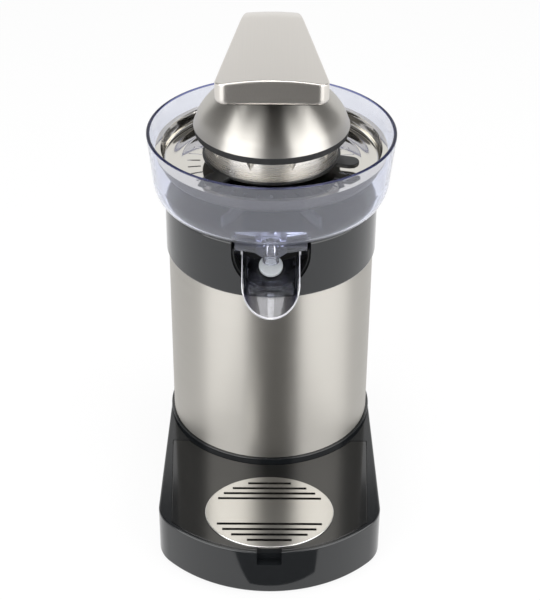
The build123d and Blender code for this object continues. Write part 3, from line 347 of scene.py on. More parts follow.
@dataclass(frozen=True)
class ClearPlastic:
    """Clear moulded plastic: see-through with a tint and a hard gloss, and an edge painted in a colour of
    its own for light that travels inside the wall and leaves there.
    """

    name: str
    colour: str
    roughness: float
    ior: float
    haze: float = 0.0
    edge_colour: str = "#ffffff"
    edge_clear: float = 1.0
    mark: float = 6.0
    mark_detail: float = 1.0
    depth_colour: str = "#ffffff"
    depth: float = 0.0

    def _edge(self, tree: Tree, place: Socket) -> Socket:
        """Says where the edge is.

        Args:
            tree: the material's node tree.
            place: the object's coordinates.

        Returns:
            Socket that is 1 on the edge and 0 elsewhere.
        """
        raise NotImplementedError

    def _bend(self, tree: Tree, place: Socket) -> Socket | float:
        """Index of refraction, here the same all over."""
        return self.ior

    def _tone(self, tree: Tree, place: Socket) -> Socket | Colour:
        """Tint away from the edge, here the same all over."""
        return linear(self.colour)

    def build(self) -> Material:
        """Makes the material.

        Returns:
            The finished material.
        """
        material, tree = blank_material(self.name)
        clear = 1.0 - self.haze
        place = add_node(tree, "ShaderNodeTexCoord")["Object"]
        # Flow marks of the mould, a few millimetres across, soften the gloss here and there.
        noise = add_node(
            tree, "ShaderNodeTexNoise",
            {"Vector": place, "Scale": 1 / (self.mark * MM), "Detail": self.mark_detail},
        )["Fac"]
        rough = add_node(
            tree, "ShaderNodeMapRange", {"Value": noise, "To Min": 0.0, "To Max": 2 * self.roughness}
        )["Result"]
        edge = self._edge(tree, place)
        # Painted light on the edge: its own colour and less clearness, for light that travels inside the
        # wall.
        tone = add_node(
            tree, "ShaderNodeMix",
            {"Factor": edge, COLOUR_A: self._tone(tree, place), COLOUR_B: linear(self.edge_colour)},
            data_type="RGBA",
        )[COLOUR_OUT]
        open_share = add_node(
            tree, "ShaderNodeMapRange", {"Value": edge, "To Min": clear, "To Max": clear * self.edge_clear}
        )["Result"]
        finish = {
            "Base Color": tone, "Roughness": rough, "IOR": self._bend(tree, place),
            "Transmission Weight": open_share,
        }
        ends = {"Surface": add_node(tree, "ShaderNodeBsdfPrincipled", finish)["BSDF"]}
        if self.depth:
            # Light that comes a long way along the wall, as at the bowl's sides, takes on more of its tint.
            tint = {"Color": linear(self.depth_colour), "Density": self.depth}
            ends["Volume"] = add_node(tree, "ShaderNodeVolumeAbsorption", tint)["Volume"]
        add_node(tree, "ShaderNodeOutputMaterial", ends)
        return material


@dataclass(frozen=True)
class BowlPlastic(ClearPlastic):
    """Bluish clear plastic of the bowl: its rim is painted deep blue, for light that comes a long way inside
    the wall.
    """

    edge_z: float = 0.0
    edge_fade: float = 0.25
    foot_z: float = 0.0
    foot_ior: float = 1.49

    def _by_height(self, tree: Tree, place: Socket, level: float, below: float, above: float) -> Socket:
        """Changes a value at a height.

        Args:
            tree: the material's node tree.
            place: the object's coordinates.
            level: the height.
            below: the value below it.
            above: the value above it.

        Returns:
            The value's socket.
        """
        height = add_node(tree, "ShaderNodeSeparateXYZ", {"Vector": place})["Z"]
        return add_node(
            tree, "ShaderNodeMapRange",
            {"Value": height, "From Min": (level - self.edge_fade) * MM,
             "From Max": (level + self.edge_fade) * MM, "To Min": below, "To Max": above},
        )["Result"]

    def _edge(self, tree: Tree, place: Socket) -> Socket:
        """The rim, by height, which is painted deep blue."""
        return self._by_height(tree, place, self.edge_z, 0.0, 1.0)

    def _bend(self, tree: Tree, place: Socket) -> Socket:
        """The thick lug and nozzle below the bowl bend light more than its thin wall seems to."""
        return self._by_height(tree, place, self.foot_z, self.foot_ior, self.ior)


@dataclass(frozen=True)
class ChutePlastic(ClearPlastic):
    """Smoked clear plastic of the chute: its outline has a painted highlight, pale and less clear, for light
    from inside the wall that leaves there.
    """

    angle: float = 0.0
    pivot_y: float = 0.0
    pivot_z: float = 0.0
    end_y: float = 0.0
    half_w: float = 1.0
    reach: float = 1.0
    edge: float = 0.965
    # Painted shade of the steep side walls.
    steep_shade_colour: str = "#4c4d60"
    flat_share: float = 0.35
    steep_share: float = 0.8

    def _out(self, tree: Tree, place: Socket) -> Socket:
        """How far out a place is: 1 on the outline, straight along the sides and oval round the tip.

        Args:
            tree: the material's node tree.
            place: the object's coordinates.

        Returns:
            The value's socket.
        """
        centred = add_node(
            tree, "ShaderNodeMapping",
            {"Vector": place, "Location": (0, -self.pivot_y * MM, -self.pivot_z * MM)},
        )["Vector"]
        slope = (0, cos(radians(self.angle)), sin(radians(self.angle)))
        along = add_node(
            tree, "ShaderNodeVectorMath", {0: centred, 1: slope}, operation="DOT_PRODUCT"
        )["Value"]
        past = add_node(
            tree, "ShaderNodeMath", {0: along, 1: (self.end_y - self.pivot_y) * MM}, operation="SUBTRACT"
        )["Value"]
        past = add_node(tree, "ShaderNodeMath", {0: past, 1: 0.0}, operation="MINIMUM")["Value"]
        aside = add_node(tree, "ShaderNodeSeparateXYZ", {"Vector": place})["X"]
        plan = add_node(tree, "ShaderNodeCombineXYZ", {"X": aside, "Y": past})["Vector"]
        scale = (1 / (self.half_w * MM), 1 / (self.reach * MM), 0)
        oval = add_node(tree, "ShaderNodeVectorMath", {0: plan, 1: scale}, operation="MULTIPLY")["Vector"]
        return add_node(tree, "ShaderNodeVectorMath", {0: oval}, operation="LENGTH")["Value"]

    def _edge(self, tree: Tree, place: Socket) -> Socket:
        """The outline, where the painted highlight goes, but not the pivot stubs beyond it."""
        near = {0: self._out(tree, place), 1: 1.0, 2: 1.0 - self.edge}
        return add_node(tree, "ShaderNodeMath", near, operation="COMPARE")["Value"]

    def _tone(self, tree: Tree, place: Socket) -> Socket:
        """Painted shade: the steep side walls are painted darker, for the longer way that light has through
        them.

        Args:
            tree: the material's node tree.
            place: the object's coordinates.

        Returns:
            The tint's socket.
        """
        aside = add_node(tree, "ShaderNodeSeparateXYZ", {"Vector": place})["X"]
        wide = add_node(tree, "ShaderNodeMath", {0: aside}, operation="ABSOLUTE")["Value"]
        steep = add_node(
            tree, "ShaderNodeMapRange",
            {"Value": wide, "From Min": self.flat_share * self.half_w * MM,
             "From Max": self.steep_share * self.half_w * MM},
        )["Result"]
        return add_node(
            tree, "ShaderNodeMix",
            {"Factor": steep, COLOUR_A: linear(self.colour), COLOUR_B: linear(self.steep_shade_colour)},
            data_type="RGBA",
        )[COLOUR_OUT]


@dataclass(frozen=True)
class BareMetal:
    """Plain turned, pressed or wound metal without brush lines: gloss that varies with faint tool marks.

    Real tool marks are about 0.1 mm apart, too fine to show in the picture, so they are drawn coarser.
    """

    name: str
    colour: str
    roughness: float
    mark: float = 1.2
    mark_detail: float = 2.0
    vary: float = 0.2
    # Darker colour of the faces that look outwards or down: painted shade.
    under_shade_colour: str | None = None
    under_roughness: float = 0.4

    def build(self) -> Material:
        """Makes the material.

        Returns:
            The finished material.
        """
        material, tree = blank_material(self.name)
        place = add_node(tree, "ShaderNodeTexCoord")["Object"]
        noise = add_node(
            tree, "ShaderNodeTexNoise",
            {"Vector": place, "Scale": 1 / (self.mark * MM), "Detail": self.mark_detail},
        )["Fac"]
        rough = add_node(
            tree, "ShaderNodeMapRange",
            {"Value": noise, "To Min": self.roughness * (1 - self.vary),
             "To Max": self.roughness * (1 + self.vary)},
        )["Result"]
        tone = linear(self.colour)
        if self.under_shade_colour is not None:
            # Only the dish's inside is polished, so its outside is rougher. The outside's darker grey is
            # painted shade on the faces that look outwards or down.
            under = add_node(tree, "ShaderNodeAttribute", attribute_name=UNDERSIDE)["Fac"]
            tone = add_node(
                tree, "ShaderNodeMix",
                {"Factor": under, COLOUR_A: tone, COLOUR_B: linear(self.under_shade_colour)}, data_type="RGBA",
            )[COLOUR_OUT]
            rough = add_node(
                tree, "ShaderNodeMix", {0: under, FLOAT_A: rough, FLOAT_B: self.under_roughness}
            )[FLOAT_OUT]
        finish = {"Base Color": tone, "Metallic": 1.0, "Roughness": rough}
        surface = add_node(tree, "ShaderNodeBsdfPrincipled", finish)["BSDF"]
        add_node(tree, "ShaderNodeOutputMaterial", {"Surface": surface})
        return material


@dataclass
class Finishes:
    """All finishes of the juicer, made once."""

    axis_y: float
    bowl_rim_z: float
    top_z: float
    lever_front: float
    rim_depth: float = 0.7
    front_depth: float = 1.0
    made: dict[str, Material] = field(default_factory=dict)

    def build(self) -> None:
        """Makes every material."""
        recipes = (
            # Stainless sheet brushed round the body: upright light and dark bands.
            BrushedSteel("sleeve_steel", "#bdbab4", 0.42, Lay.AROUND, self.axis_y),
            # Spun stainless: rings round the dome, with tighter bands than on the body.
            BrushedSteel("dome_steel", "#bfbcb6", 0.38, Lay.AROUND, self.axis_y, line=0.5),
            # Drawn stainless of the cone: brighter and smoother than the body.
            BrushedSteel("cone_steel", "#e2ded7", 0.28, Lay.AROUND, self.axis_y, line=0.5, contrast=0.04),
            # Stainless brushed along the lever: fine lines to the eye, and across on its front end.
            BrushedSteel(
                "lever_steel", "#dedad4", 0.34, Lay.LENGTHWISE, self.axis_y, line=0.5, spread=0.6,
                contrast=0.12, front=self.lever_front + self.front_depth,
            ),
            # Stainless plate brushed from side to side: pale and nearly a mirror.
            BrushedSteel(
                "grille_steel", "#e4e3e0", 0.18, Lay.CROSSWISE, self.axis_y, line=0.5, spread=0.6
            ),
            # Pressed and polished stainless: a mirror inside the dish, rougher outside, with painted shade
            # darkening the outside.
            BareMetal("sieve_steel", "#d3d0c9", 0.07, under_shade_colour="#62605f"),
            # Turned steel of pins, screws and shaft: a plain soft gloss.
            BareMetal("turned_steel", "#b9b9ba", 0.25),
            # Enamelled copper wire: warm red-brown with a satin gloss.
            BareMetal("wound_copper", "#b06a3a", 0.35),
            # Stacked iron sheets: dark and dull.
            BareMetal("stacked_iron", "#5c5e62", 0.5),
            # ABS from a polished mould: black with clear reflections.
            Moulded("gloss_black_plastic", "#16181a", 0.12, depth=0.002, ior=1.58),
            # ABS polished further: the tray mirrors the body above it.
            Moulded("polished_black_plastic", "#0e0f10", 0.08, depth=0.001, ior=1.8),
            # ABS from an etched mould: black with a soft sheen.
            Moulded("satin_black_plastic", "#121314", 0.34),
            # Acetal as moulded: off-white and waxy.
            Moulded("natural_gear_plastic", "#dfdccf", 0.45),
            # Moulded rubber: black and matt.
            Moulded("black_rubber", "#1b1b1c", 0.5),
            # Moulded silicone: light grey and matt.
            Moulded("grey_silicone", "#b2b6b8", 0.45),
            # Clear copolymer as moulded: bluish where light comes a long way through it, and its rim painted
            # deep blue for such light.
            BowlPlastic(
                "clear_bowl_plastic", "#f2f4fb", 0.02, 1.25, haze=0.068, edge_colour="#3f4580",
                depth_colour="#a2a7cc", depth=40.0,
                edge_z=self.bowl_rim_z - self.rim_depth, foot_z=self.top_z,
            ),
            # Smoked acrylic: side walls darkened by painted shade, and an outline lit by a painted
            # highlight.
            ChutePlastic(
                "smoked_chute_plastic", "#dcdde6", 0.02, 1.49, edge_colour="#dcdce2", edge_clear=0.3,
                angle=Spout.open_angle, pivot_y=self.axis_y - Spout.pivot_y,
                pivot_z=self.top_z - Spout.pivot_drop, end_y=self.axis_y - Spout.straight_y,
                half_w=Spout.half_w, reach=Spout.tip_y - Spout.straight_y,
            ),
        )
        for recipe in recipes:
            self.made[recipe.name] = recipe.build()

    def __getitem__(self, name: str) -> Material:
        """Returns a finish by its name."""
        return self.made[name]


def box_mm(node: str) -> tuple[Vector, Vector]:
    """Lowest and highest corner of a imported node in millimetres."""
    low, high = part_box(node)
    return low / MM, high / MM


def arc(centre: Point, radius: float, start: float, end: float, steps: int) -> Outline:
    """Points of an arc.

    Args:
        centre: the arc's centre.
        radius: its radius.
        start: first angle in degrees.
        end: last angle in degrees.
        steps: number of straight steps.

    Returns:
        The points with both ends.
    """
    angles = [radians(start + (end - start) * k / steps) for k in range(steps + 1)]
    return [(centre[0] + radius * cos(a), centre[1] + radius * sin(a)) for a in angles]


def circle(centre: Point, radius: float, steps: int) -> Outline:
    """Points of a closed circle, without its first point again."""
    return arc(centre, radius, 0, 360 * (steps - 1) / steps, steps - 1)


def bearing(direction: Vector) -> float:
    """Angle of a direction from the first axis, in degrees."""
    return Vector((1, 0)).angle_signed(direction, 0.0) * -180 / pi


def arc_through(first: Point, second: Point, third: Point, steps: int) -> Outline:
    """Arc through three points.

    Args:
        first: where it starts.
        second: a point on the way.
        third: where it ends.
        steps: number of straight steps.

    Returns:
        The arc's points.
    """
    ax, ay = first
    bx, by = second
    cx, cy = third
    d = 2 * (ax * (by - cy) + bx * (cy - ay) + cx * (ay - by))
    ux = ((ax**2 + ay**2) * (by - cy) + (bx**2 + by**2) * (cy - ay) + (cx**2 + cy**2) * (ay - by)) / d
    uy = ((ax**2 + ay**2) * (cx - bx) + (bx**2 + by**2) * (ax - cx) + (cx**2 + cy**2) * (bx - ax)) / d
    radius = hypot(ax - ux, ay - uy)
    points = (first, second, third)
    turns = [-Vector((1, 0)).angle_signed(Vector((x - ux, y - uy)), 0.0) for x, y in points]
    start, middle, end = turns
    while middle < start:
        middle += 2 * pi
    while end < middle:
        end += 2 * pi
    # More than a full turn means that the arc passes the second point the other way round.
    if end - start > 2 * pi:
        start, end = turns[0], turns[2]
        while end > start:
            end -= 2 * pi
    return arc((ux, uy), radius, start * 180 / pi, end * 180 / pi, steps)


def through(points: Outline, steps: int) -> Outline:
    """Smooth curve through a few points.

    Args:
        points: points that the curve passes.
        steps: straight steps between two points.

    Returns:
        The curve's points.
    """
    first = (2 * points[0][0] - points[1][0], 2 * points[0][1] - points[1][1])
    last = (2 * points[-1][0] - points[-2][0], 2 * points[-1][1] - points[-2][1])
    guide = [first, *points, last]
    curve = [points[0]]
    for p0, p1, p2, p3 in zip(guide, guide[1:], guide[2:], guide[3:]):
        for k in range(1, steps + 1):
            t = k / steps
            place = []
            for a, b, c, d in zip(p0, p1, p2, p3):
                square = (2 * a - 5 * b + 4 * c - d) * t**2
                cube = (3 * b - a - 3 * c + d) * t**3
                place.append(0.5 * (2 * b + (c - a) * t + square + cube))
            curve.append(tuple(place))
    return curve


def new_piece(name: str, shape: bmesh.types.BMesh) -> Piece:
    """Turns a shape in millimetres to an object in metres with its place in its mesh.

    Args:
        name: the object's name.
        shape: the shape, which is freed.

    Returns:
        The new object.
    """
    bmesh.ops.remove_doubles(shape, verts=shape.verts, dist=MERGE)
    bmesh.ops.recalc_face_normals(shape, faces=shape.faces)
    bmesh.ops.scale(shape, vec=(MM, MM, MM), verts=shape.verts)
    mesh = bpy.data.meshes.new(name)
    shape.to_mesh(mesh)
    shape.free()
    piece = bpy.data.objects.new(name, mesh)
    bpy.context.scene.collection.objects.link(piece)
    return piece


def lathe(name: str, profile: Outline, axis_y: float, steps: int = TURN_STEPS) -> Piece:
    """Turns a closed profile about a vertical axis.

    Args:
        name: the object's name.
        profile: closed loop of radius and height.
        axis_y: the axis's place front to back.
        steps: number of steps round the axis.

    Returns:
        The turned piece.
    """
    shape = bmesh.new()
    angles = [2 * pi * k / steps for k in range(steps)]
    rings = []
    for radius, height in profile:
        if radius < MERGE:
            rings.append([shape.verts.new((0.0, axis_y, height))] * steps)
            continue
        places = [(radius * cos(a), axis_y + radius * sin(a), height) for a in angles]
        rings.append([shape.verts.new(place) for place in places])
    for ring, following in zip(rings, rings[1:] + rings[:1]):
        for k in range(steps):
            corners = [ring[k], ring[(k + 1) % steps], following[(k + 1) % steps], following[k]]
            face = list(dict.fromkeys(corners))
            if len(face) > 2:
                shape.faces.new(face)
    return new_piece(name, shape)


def prism(name: str, outline: Outline, low: float, high: float, along: str = "Z") -> Piece:
    """Runs a closed outline straight along an axis.

    Args:
        name: the object's name.
        outline: closed loop in the plane across the axis: X and Y, X and Z, or Y and Z.
        low: where the run starts.
        high: where it ends.
        along: the axis, X, Y or Z.

    Returns:
        The straight piece.
    """
    order = {"Z": (0, 1, 2), "Y": (0, 2, 1), "X": (2, 0, 1)}[along]
    shape = bmesh.new()
    ends = []
    for level in (low, high):
        places = [(a, b, level) for a, b in outline]
        ends.append([shape.verts.new([place[k] for k in order]) for place in places])
    count = len(outline)
    for k in range(count):
        following = (k + 1) % count
        shape.faces.new((ends[0][k], ends[0][following], ends[1][following], ends[1][k]))
    for end in ends:
        shape.faces.new(end)
    return new_piece(name, shape)


def cuboid(name: str, low: Place, high: Place) -> Piece:
    """Box between two corners."""
    corners = [(low[0], low[1]), (high[0], low[1]), (high[0], high[1]), (low[0], high[1])]
    return prism(name, corners, low[2], high[2])


def settle(piece: Piece) -> Piece:
    """Turns a piece's modifiers into plain mesh.

    Args:
        piece: the piece.

    Returns:
        The piece.
    """
    graph = bpy.context.evaluated_depsgraph_get()
    mesh = bpy.data.meshes.new_from_object(
        piece.evaluated_get(graph), preserve_all_data_layers=True, depsgraph=graph
    )
    piece.modifiers.clear()
    spare = piece.data
    piece.data = mesh
    bpy.data.meshes.remove(spare)
    return piece


def combine(piece: Piece, others: list[Piece], operation: str) -> None:
    """Joins, cuts or intersects a piece with others, which are used up.

    Args:
        piece: the piece that stays.
        others: the pieces that it is combined with.
        operation: UNION, DIFFERENCE or INTERSECT.
    """
    for other in others:
        modifier = piece.modifiers.new("combine", "BOOLEAN")
        modifier.operation = operation
        modifier.solver = "EXACT"
        modifier.object = other
        settle(piece)
        bpy.data.objects.remove(other)


def round_edges(piece: Piece, width: float, segments: int = 2, angle: float = 40.0) -> Piece:
    """Rounds the sharp edges of a piece.

    Args:
        piece: the piece.
        width: the rounding's width.
        segments: steps across the rounding.
        angle: edges that turn by more than this are rounded, in degrees.

    Returns:
        The piece.
    """
    modifier = piece.modifiers.new("rounding", "BEVEL")
    modifier.width = width * MM
    modifier.segments = segments
    modifier.limit_method = "ANGLE"
    modifier.angle_limit = radians(angle)
    modifier.use_clamp_overlap = True
    return settle(piece)


def smooth(piece: Piece) -> None:
    """Shades a piece smooth except across sharp edges, with large faces kept flat beside rounded edges.

    Args:
        piece: the piece.
    """
    piece.data.shade_smooth()
    piece.data.set_sharp_from_angle(angle=radians(SHARP_ANGLE))
    modifier = piece.modifiers.new("flat faces", "WEIGHTED_NORMAL")
    modifier.keep_sharp = True
    settle(piece)


def swing(piece: Piece, pivot_y: float, pivot_z: float, degrees: float) -> None:
    """Turns a piece's mesh about a line along X.

    Args:
        piece: the piece.
        pivot_y: the line's place front to back.
        pivot_z: the line's height.
        degrees: the angle by the right-hand rule about X.
    """
    pivot = Vector((0, pivot_y, pivot_z)) * MM
    turn = Matrix.Rotation(radians(degrees), 4, "X")
    piece.data.transform(Matrix.Translation(pivot) @ turn @ Matrix.Translation(-pivot))


def dress(piece: Piece, finish: Material, body: Body, node: str) -> None:
    """Gives a piece its finish and its body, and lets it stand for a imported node.

    Args:
        piece: the piece.
        finish: its material.
        body: the moving body that it rides on.
        node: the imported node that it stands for.
    """
    piece.data.materials.clear()
    piece.data.materials.append(finish)
    smooth(piece)
    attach(piece, body.value)
    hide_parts(node)
    LOG.info("%s: %d faces on %s", piece.name, len(piece.data.polygons), body.value)


class NodeTree:
    """Geometry node tree that is built in the script and run once on a piece."""

    def __init__(self, name: str, inputs: dict[str, str]) -> None:
        """Starts a tree with a geometry input and output.

        Args:
            name: the tree's name.
            inputs: further inputs by name, each with its kind of value. A material is always added.
        """
        self.tree = bpy.data.node_groups.new(name, "GeometryNodeTree")
        face = self.tree.interface
        face.new_socket("Geometry", in_out="INPUT", socket_type="NodeSocketGeometry")
        self.identifiers = {
            key: face.new_socket(key, in_out="INPUT", socket_type=f"NodeSocket{kind}").identifier
            for key, kind in {**inputs, "Material": "Material"}.items()
        }
        face.new_socket("Geometry", in_out="OUTPUT", socket_type="NodeSocketGeometry")
        self.start = add_node(self.tree, "NodeGroupInput")

    def given(self, name: str) -> Socket:
        """Returns an input's socket."""
        return self.start[name]

    def add(self, kind: str, inputs: dict | None = None, **settings: object) -> Sockets:
        """Adds a node to the tree."""
        return add_node(self.tree, kind, inputs, **settings)

    def ring(self, piece: Socket, phase: Socket | float) -> Socket:
        """Spreads copies of a piece evenly about a vertical axis, by the inputs Count and Axis.

        Args:
            piece: the piece's geometry.
            phase: angle of the first copy.

        Returns:
            The copies as instances.
        """
        count = self.given("Count")
        points = self.add("GeometryNodePoints", {"Count": count})["Points"]
        index = self.add("GeometryNodeInputIndex")["Index"]
        share = self.add("ShaderNodeMath", {0: index, 1: count}, operation="DIVIDE")["Value"]
        angle = self.add(
            "ShaderNodeMath", {0: share, 1: 2 * pi, 2: phase}, operation="MULTIPLY_ADD"
        )["Value"]
        turn = self.add("ShaderNodeCombineXYZ", {"Z": angle})["Vector"]
        copies = self.add(
            "GeometryNodeInstanceOnPoints", {"Points": points, "Instance": piece, "Rotation": turn}
        )["Instances"]
        return self.add(
            "GeometryNodeTransform", {"Geometry": copies, "Translation": self.given("Axis")}
        )["Geometry"]

    def cut(self, copies: Socket) -> None:
        """Ends the tree with copies of a cutter taken out of its geometry.

        Args:
            copies: the cutter's copies as instances.
        """
        cutters = self.add("GeometryNodeRealizeInstances", {"Geometry": copies})["Geometry"]
        rest = self.add(
            "GeometryNodeMeshBoolean", {"Mesh 1": self.given("Geometry"), "Mesh 2": cutters},
            operation="DIFFERENCE", solver="EXACT",
        )["Mesh"]
        self.end(rest)

    def end(self, geometry: Socket) -> None:
        """Ends the tree: instances made real and a material set.

        Args:
            geometry: the finished geometry.
        """
        real = self.add("GeometryNodeRealizeInstances", {"Geometry": geometry})["Geometry"]
        dressed = self.add(
            "GeometryNodeSetMaterial", {"Geometry": real, "Material": self.given("Material")}
        )["Geometry"]
        self.add("NodeGroupOutput", {"Geometry": dressed})

    def run(self, piece: Piece, values: dict[str, object]) -> Piece:
        """Runs the tree on a piece and keeps the result as plain mesh.

        Args:
            piece: the piece.
            values: the tree's inputs by name.

        Returns:
            The piece.
        """
        modifier = piece.modifiers.new(self.tree.name, "NODES")
        modifier.node_group = self.tree
        for key, value in values.items():
            modifier[self.identifiers[key]] = value
        return settle(piece)


class RingOfPieces(NodeTree):
    """Copies of one piece spread evenly about a vertical axis, added to the geometry."""

    def __init__(self) -> None:
        """Builds the tree."""
        inputs = {"Piece": "Object", "Count": "Int", "Phase": "Float", "Axis": "Vector"}
        super().__init__("ring of pieces", inputs)
        piece = self.add("GeometryNodeObjectInfo", {"Object": self.given("Piece")})["Geometry"]
        copies = self.ring(piece, self.given("Phase"))
        joined = self.add("GeometryNodeJoinGeometry", {"Geometry": [copies, self.given("Geometry")]})
        self.end(joined["Geometry"])


class Coil(NodeTree):
    """Round wire wound about a vertical axis."""

    def __init__(self, turn_steps: int = 40, wire_steps: int = 10) -> None:
        """Builds the tree.

        Args:
            turn_steps: straight steps in a turn.
            wire_steps: straight steps round the wire.
        """
        inputs = {"Turns": "Float", "Radius": "Float", "Rise": "Float", "Wire": "Float", "Foot": "Vector"}
        super().__init__("coil", inputs)
        radius = self.given("Radius")
        path = self.add(
            "GeometryNodeCurveSpiral",
            {"Resolution": turn_steps, "Rotations": self.given("Turns"), "Start Radius": radius,
             "End Radius": radius, "Height": self.given("Rise")},
        )["Curve"]
        section = self.add(
            "GeometryNodeCurvePrimitiveCircle", {"Resolution": wire_steps, "Radius": self.given("Wire")}
        )["Curve"]
        wire = self.add(
            "GeometryNodeCurveToMesh", {"Curve": path, "Profile Curve": section, "Fill Caps": True}
        )["Mesh"]
        placed = self.add("GeometryNodeTransform", {"Geometry": wire, "Translation": self.given("Foot")})
        self.end(placed["Geometry"])


class RingOfSlots(NodeTree):
    """Straight slots cut through the geometry, spread evenly about a vertical axis."""

    def __init__(self) -> None:
        """Builds the tree."""
        inputs = {"Count": "Int", "Slot size": "Vector", "Slot place": "Vector", "Axis": "Vector"}
        super().__init__("ring of slots", inputs)
        slot = self.add("GeometryNodeMeshCube", {"Size": self.given("Slot size")})["Mesh"]
        aside = self.add(
            "GeometryNodeTransform", {"Geometry": slot, "Translation": self.given("Slot place")}
        )["Geometry"]
        self.cut(self.ring(aside, 0.0))


class RowsOfSlots(NodeTree):
    """Slots across a plate in two groups, their ends on an oval."""

    def __init__(self) -> None:
        """Builds the tree."""
        super().__init__(
            "rows of slots",
            {"Rows": "Int", "Oval": "Vector", "Centre": "Vector", "Band": "Float", "Pitch": "Float",
             "Slot size": "Vector"},
        )
        rows = self.given("Rows")
        total = self.add("ShaderNodeMath", {0: rows, 1: 2.0}, operation="MULTIPLY")["Value"]
        points = self.add("GeometryNodePoints", {"Count": total})["Points"]
        off = self._off(rows)
        oval = self.add("ShaderNodeSeparateXYZ", {"Vector": self.given("Oval")})
        share = self.add("ShaderNodeMath", {0: off, 1: oval["Y"]}, operation="DIVIDE")["Value"]
        square = self.add("ShaderNodeMath", {0: share, 1: share}, operation="MULTIPLY")["Value"]
        rest = self.add("ShaderNodeMath", {0: 1.0, 1: square}, operation="SUBTRACT")["Value"]
        root = self.add("ShaderNodeMath", {0: rest}, operation="SQRT")["Value"]
        half = self.add("ShaderNodeMath", {0: oval["X"], 1: root}, operation="MULTIPLY")["Value"]
        length = self.add("ShaderNodeMath", {0: half, 1: 2.0}, operation="MULTIPLY")["Value"]
        size = self.add("ShaderNodeSeparateXYZ", {"Vector": self.given("Slot size")})
        scale = self.add("ShaderNodeCombineXYZ", {"X": length, "Y": size["Y"], "Z": size["Z"]})["Vector"]
        place = self.add("ShaderNodeCombineXYZ", {"Y": off})["Vector"]
        moved = self.add("GeometryNodeSetPosition", {"Geometry": points, "Position": place})["Geometry"]
        cube = self.add("GeometryNodeMeshCube")["Mesh"]
        copies = self.add(
            "GeometryNodeInstanceOnPoints", {"Points": moved, "Instance": cube, "Scale": scale}
        )["Instances"]
        placed = self.add(
            "GeometryNodeTransform", {"Geometry": copies, "Translation": self.given("Centre")}
        )["Geometry"]
        self.cut(placed)

    def _off(self, rows: Socket) -> Socket:
        """How far each slot is behind or before the plate's middle.

        Args:
            rows: number of slots in a group.

        Returns:
            The distance's socket.
        """
        index = self.add("GeometryNodeInputIndex")["Index"]
        row = self.add("ShaderNodeMath", {0: index, 1: rows}, operation="MODULO")["Value"]
        rear = self.add("ShaderNodeMath", {0: index, 1: rows}, operation="LESS_THAN")["Value"]
        side = self.add("ShaderNodeMath", {0: rear, 1: 2.0, 2: -1.0}, operation="MULTIPLY_ADD")["Value"]
        reach = self.add(
            "ShaderNodeMath", {0: row, 1: self.given("Pitch"), 2: self.given("Band")},
            operation="MULTIPLY_ADD",
        )["Value"]
        return self.add("ShaderNodeMath", {0: side, 1: reach}, operation="MULTIPLY")["Value"]


@dataclass
class Assembly:
    """Group of pieces that are placed from the drive axis."""

    finishes: Finishes
    axis_y: float

    def turned(self, name: str, *profile: Point) -> Piece:
        """Turns a closed profile about the drive axis."""
        return lathe(name, list(profile), self.axis_y)


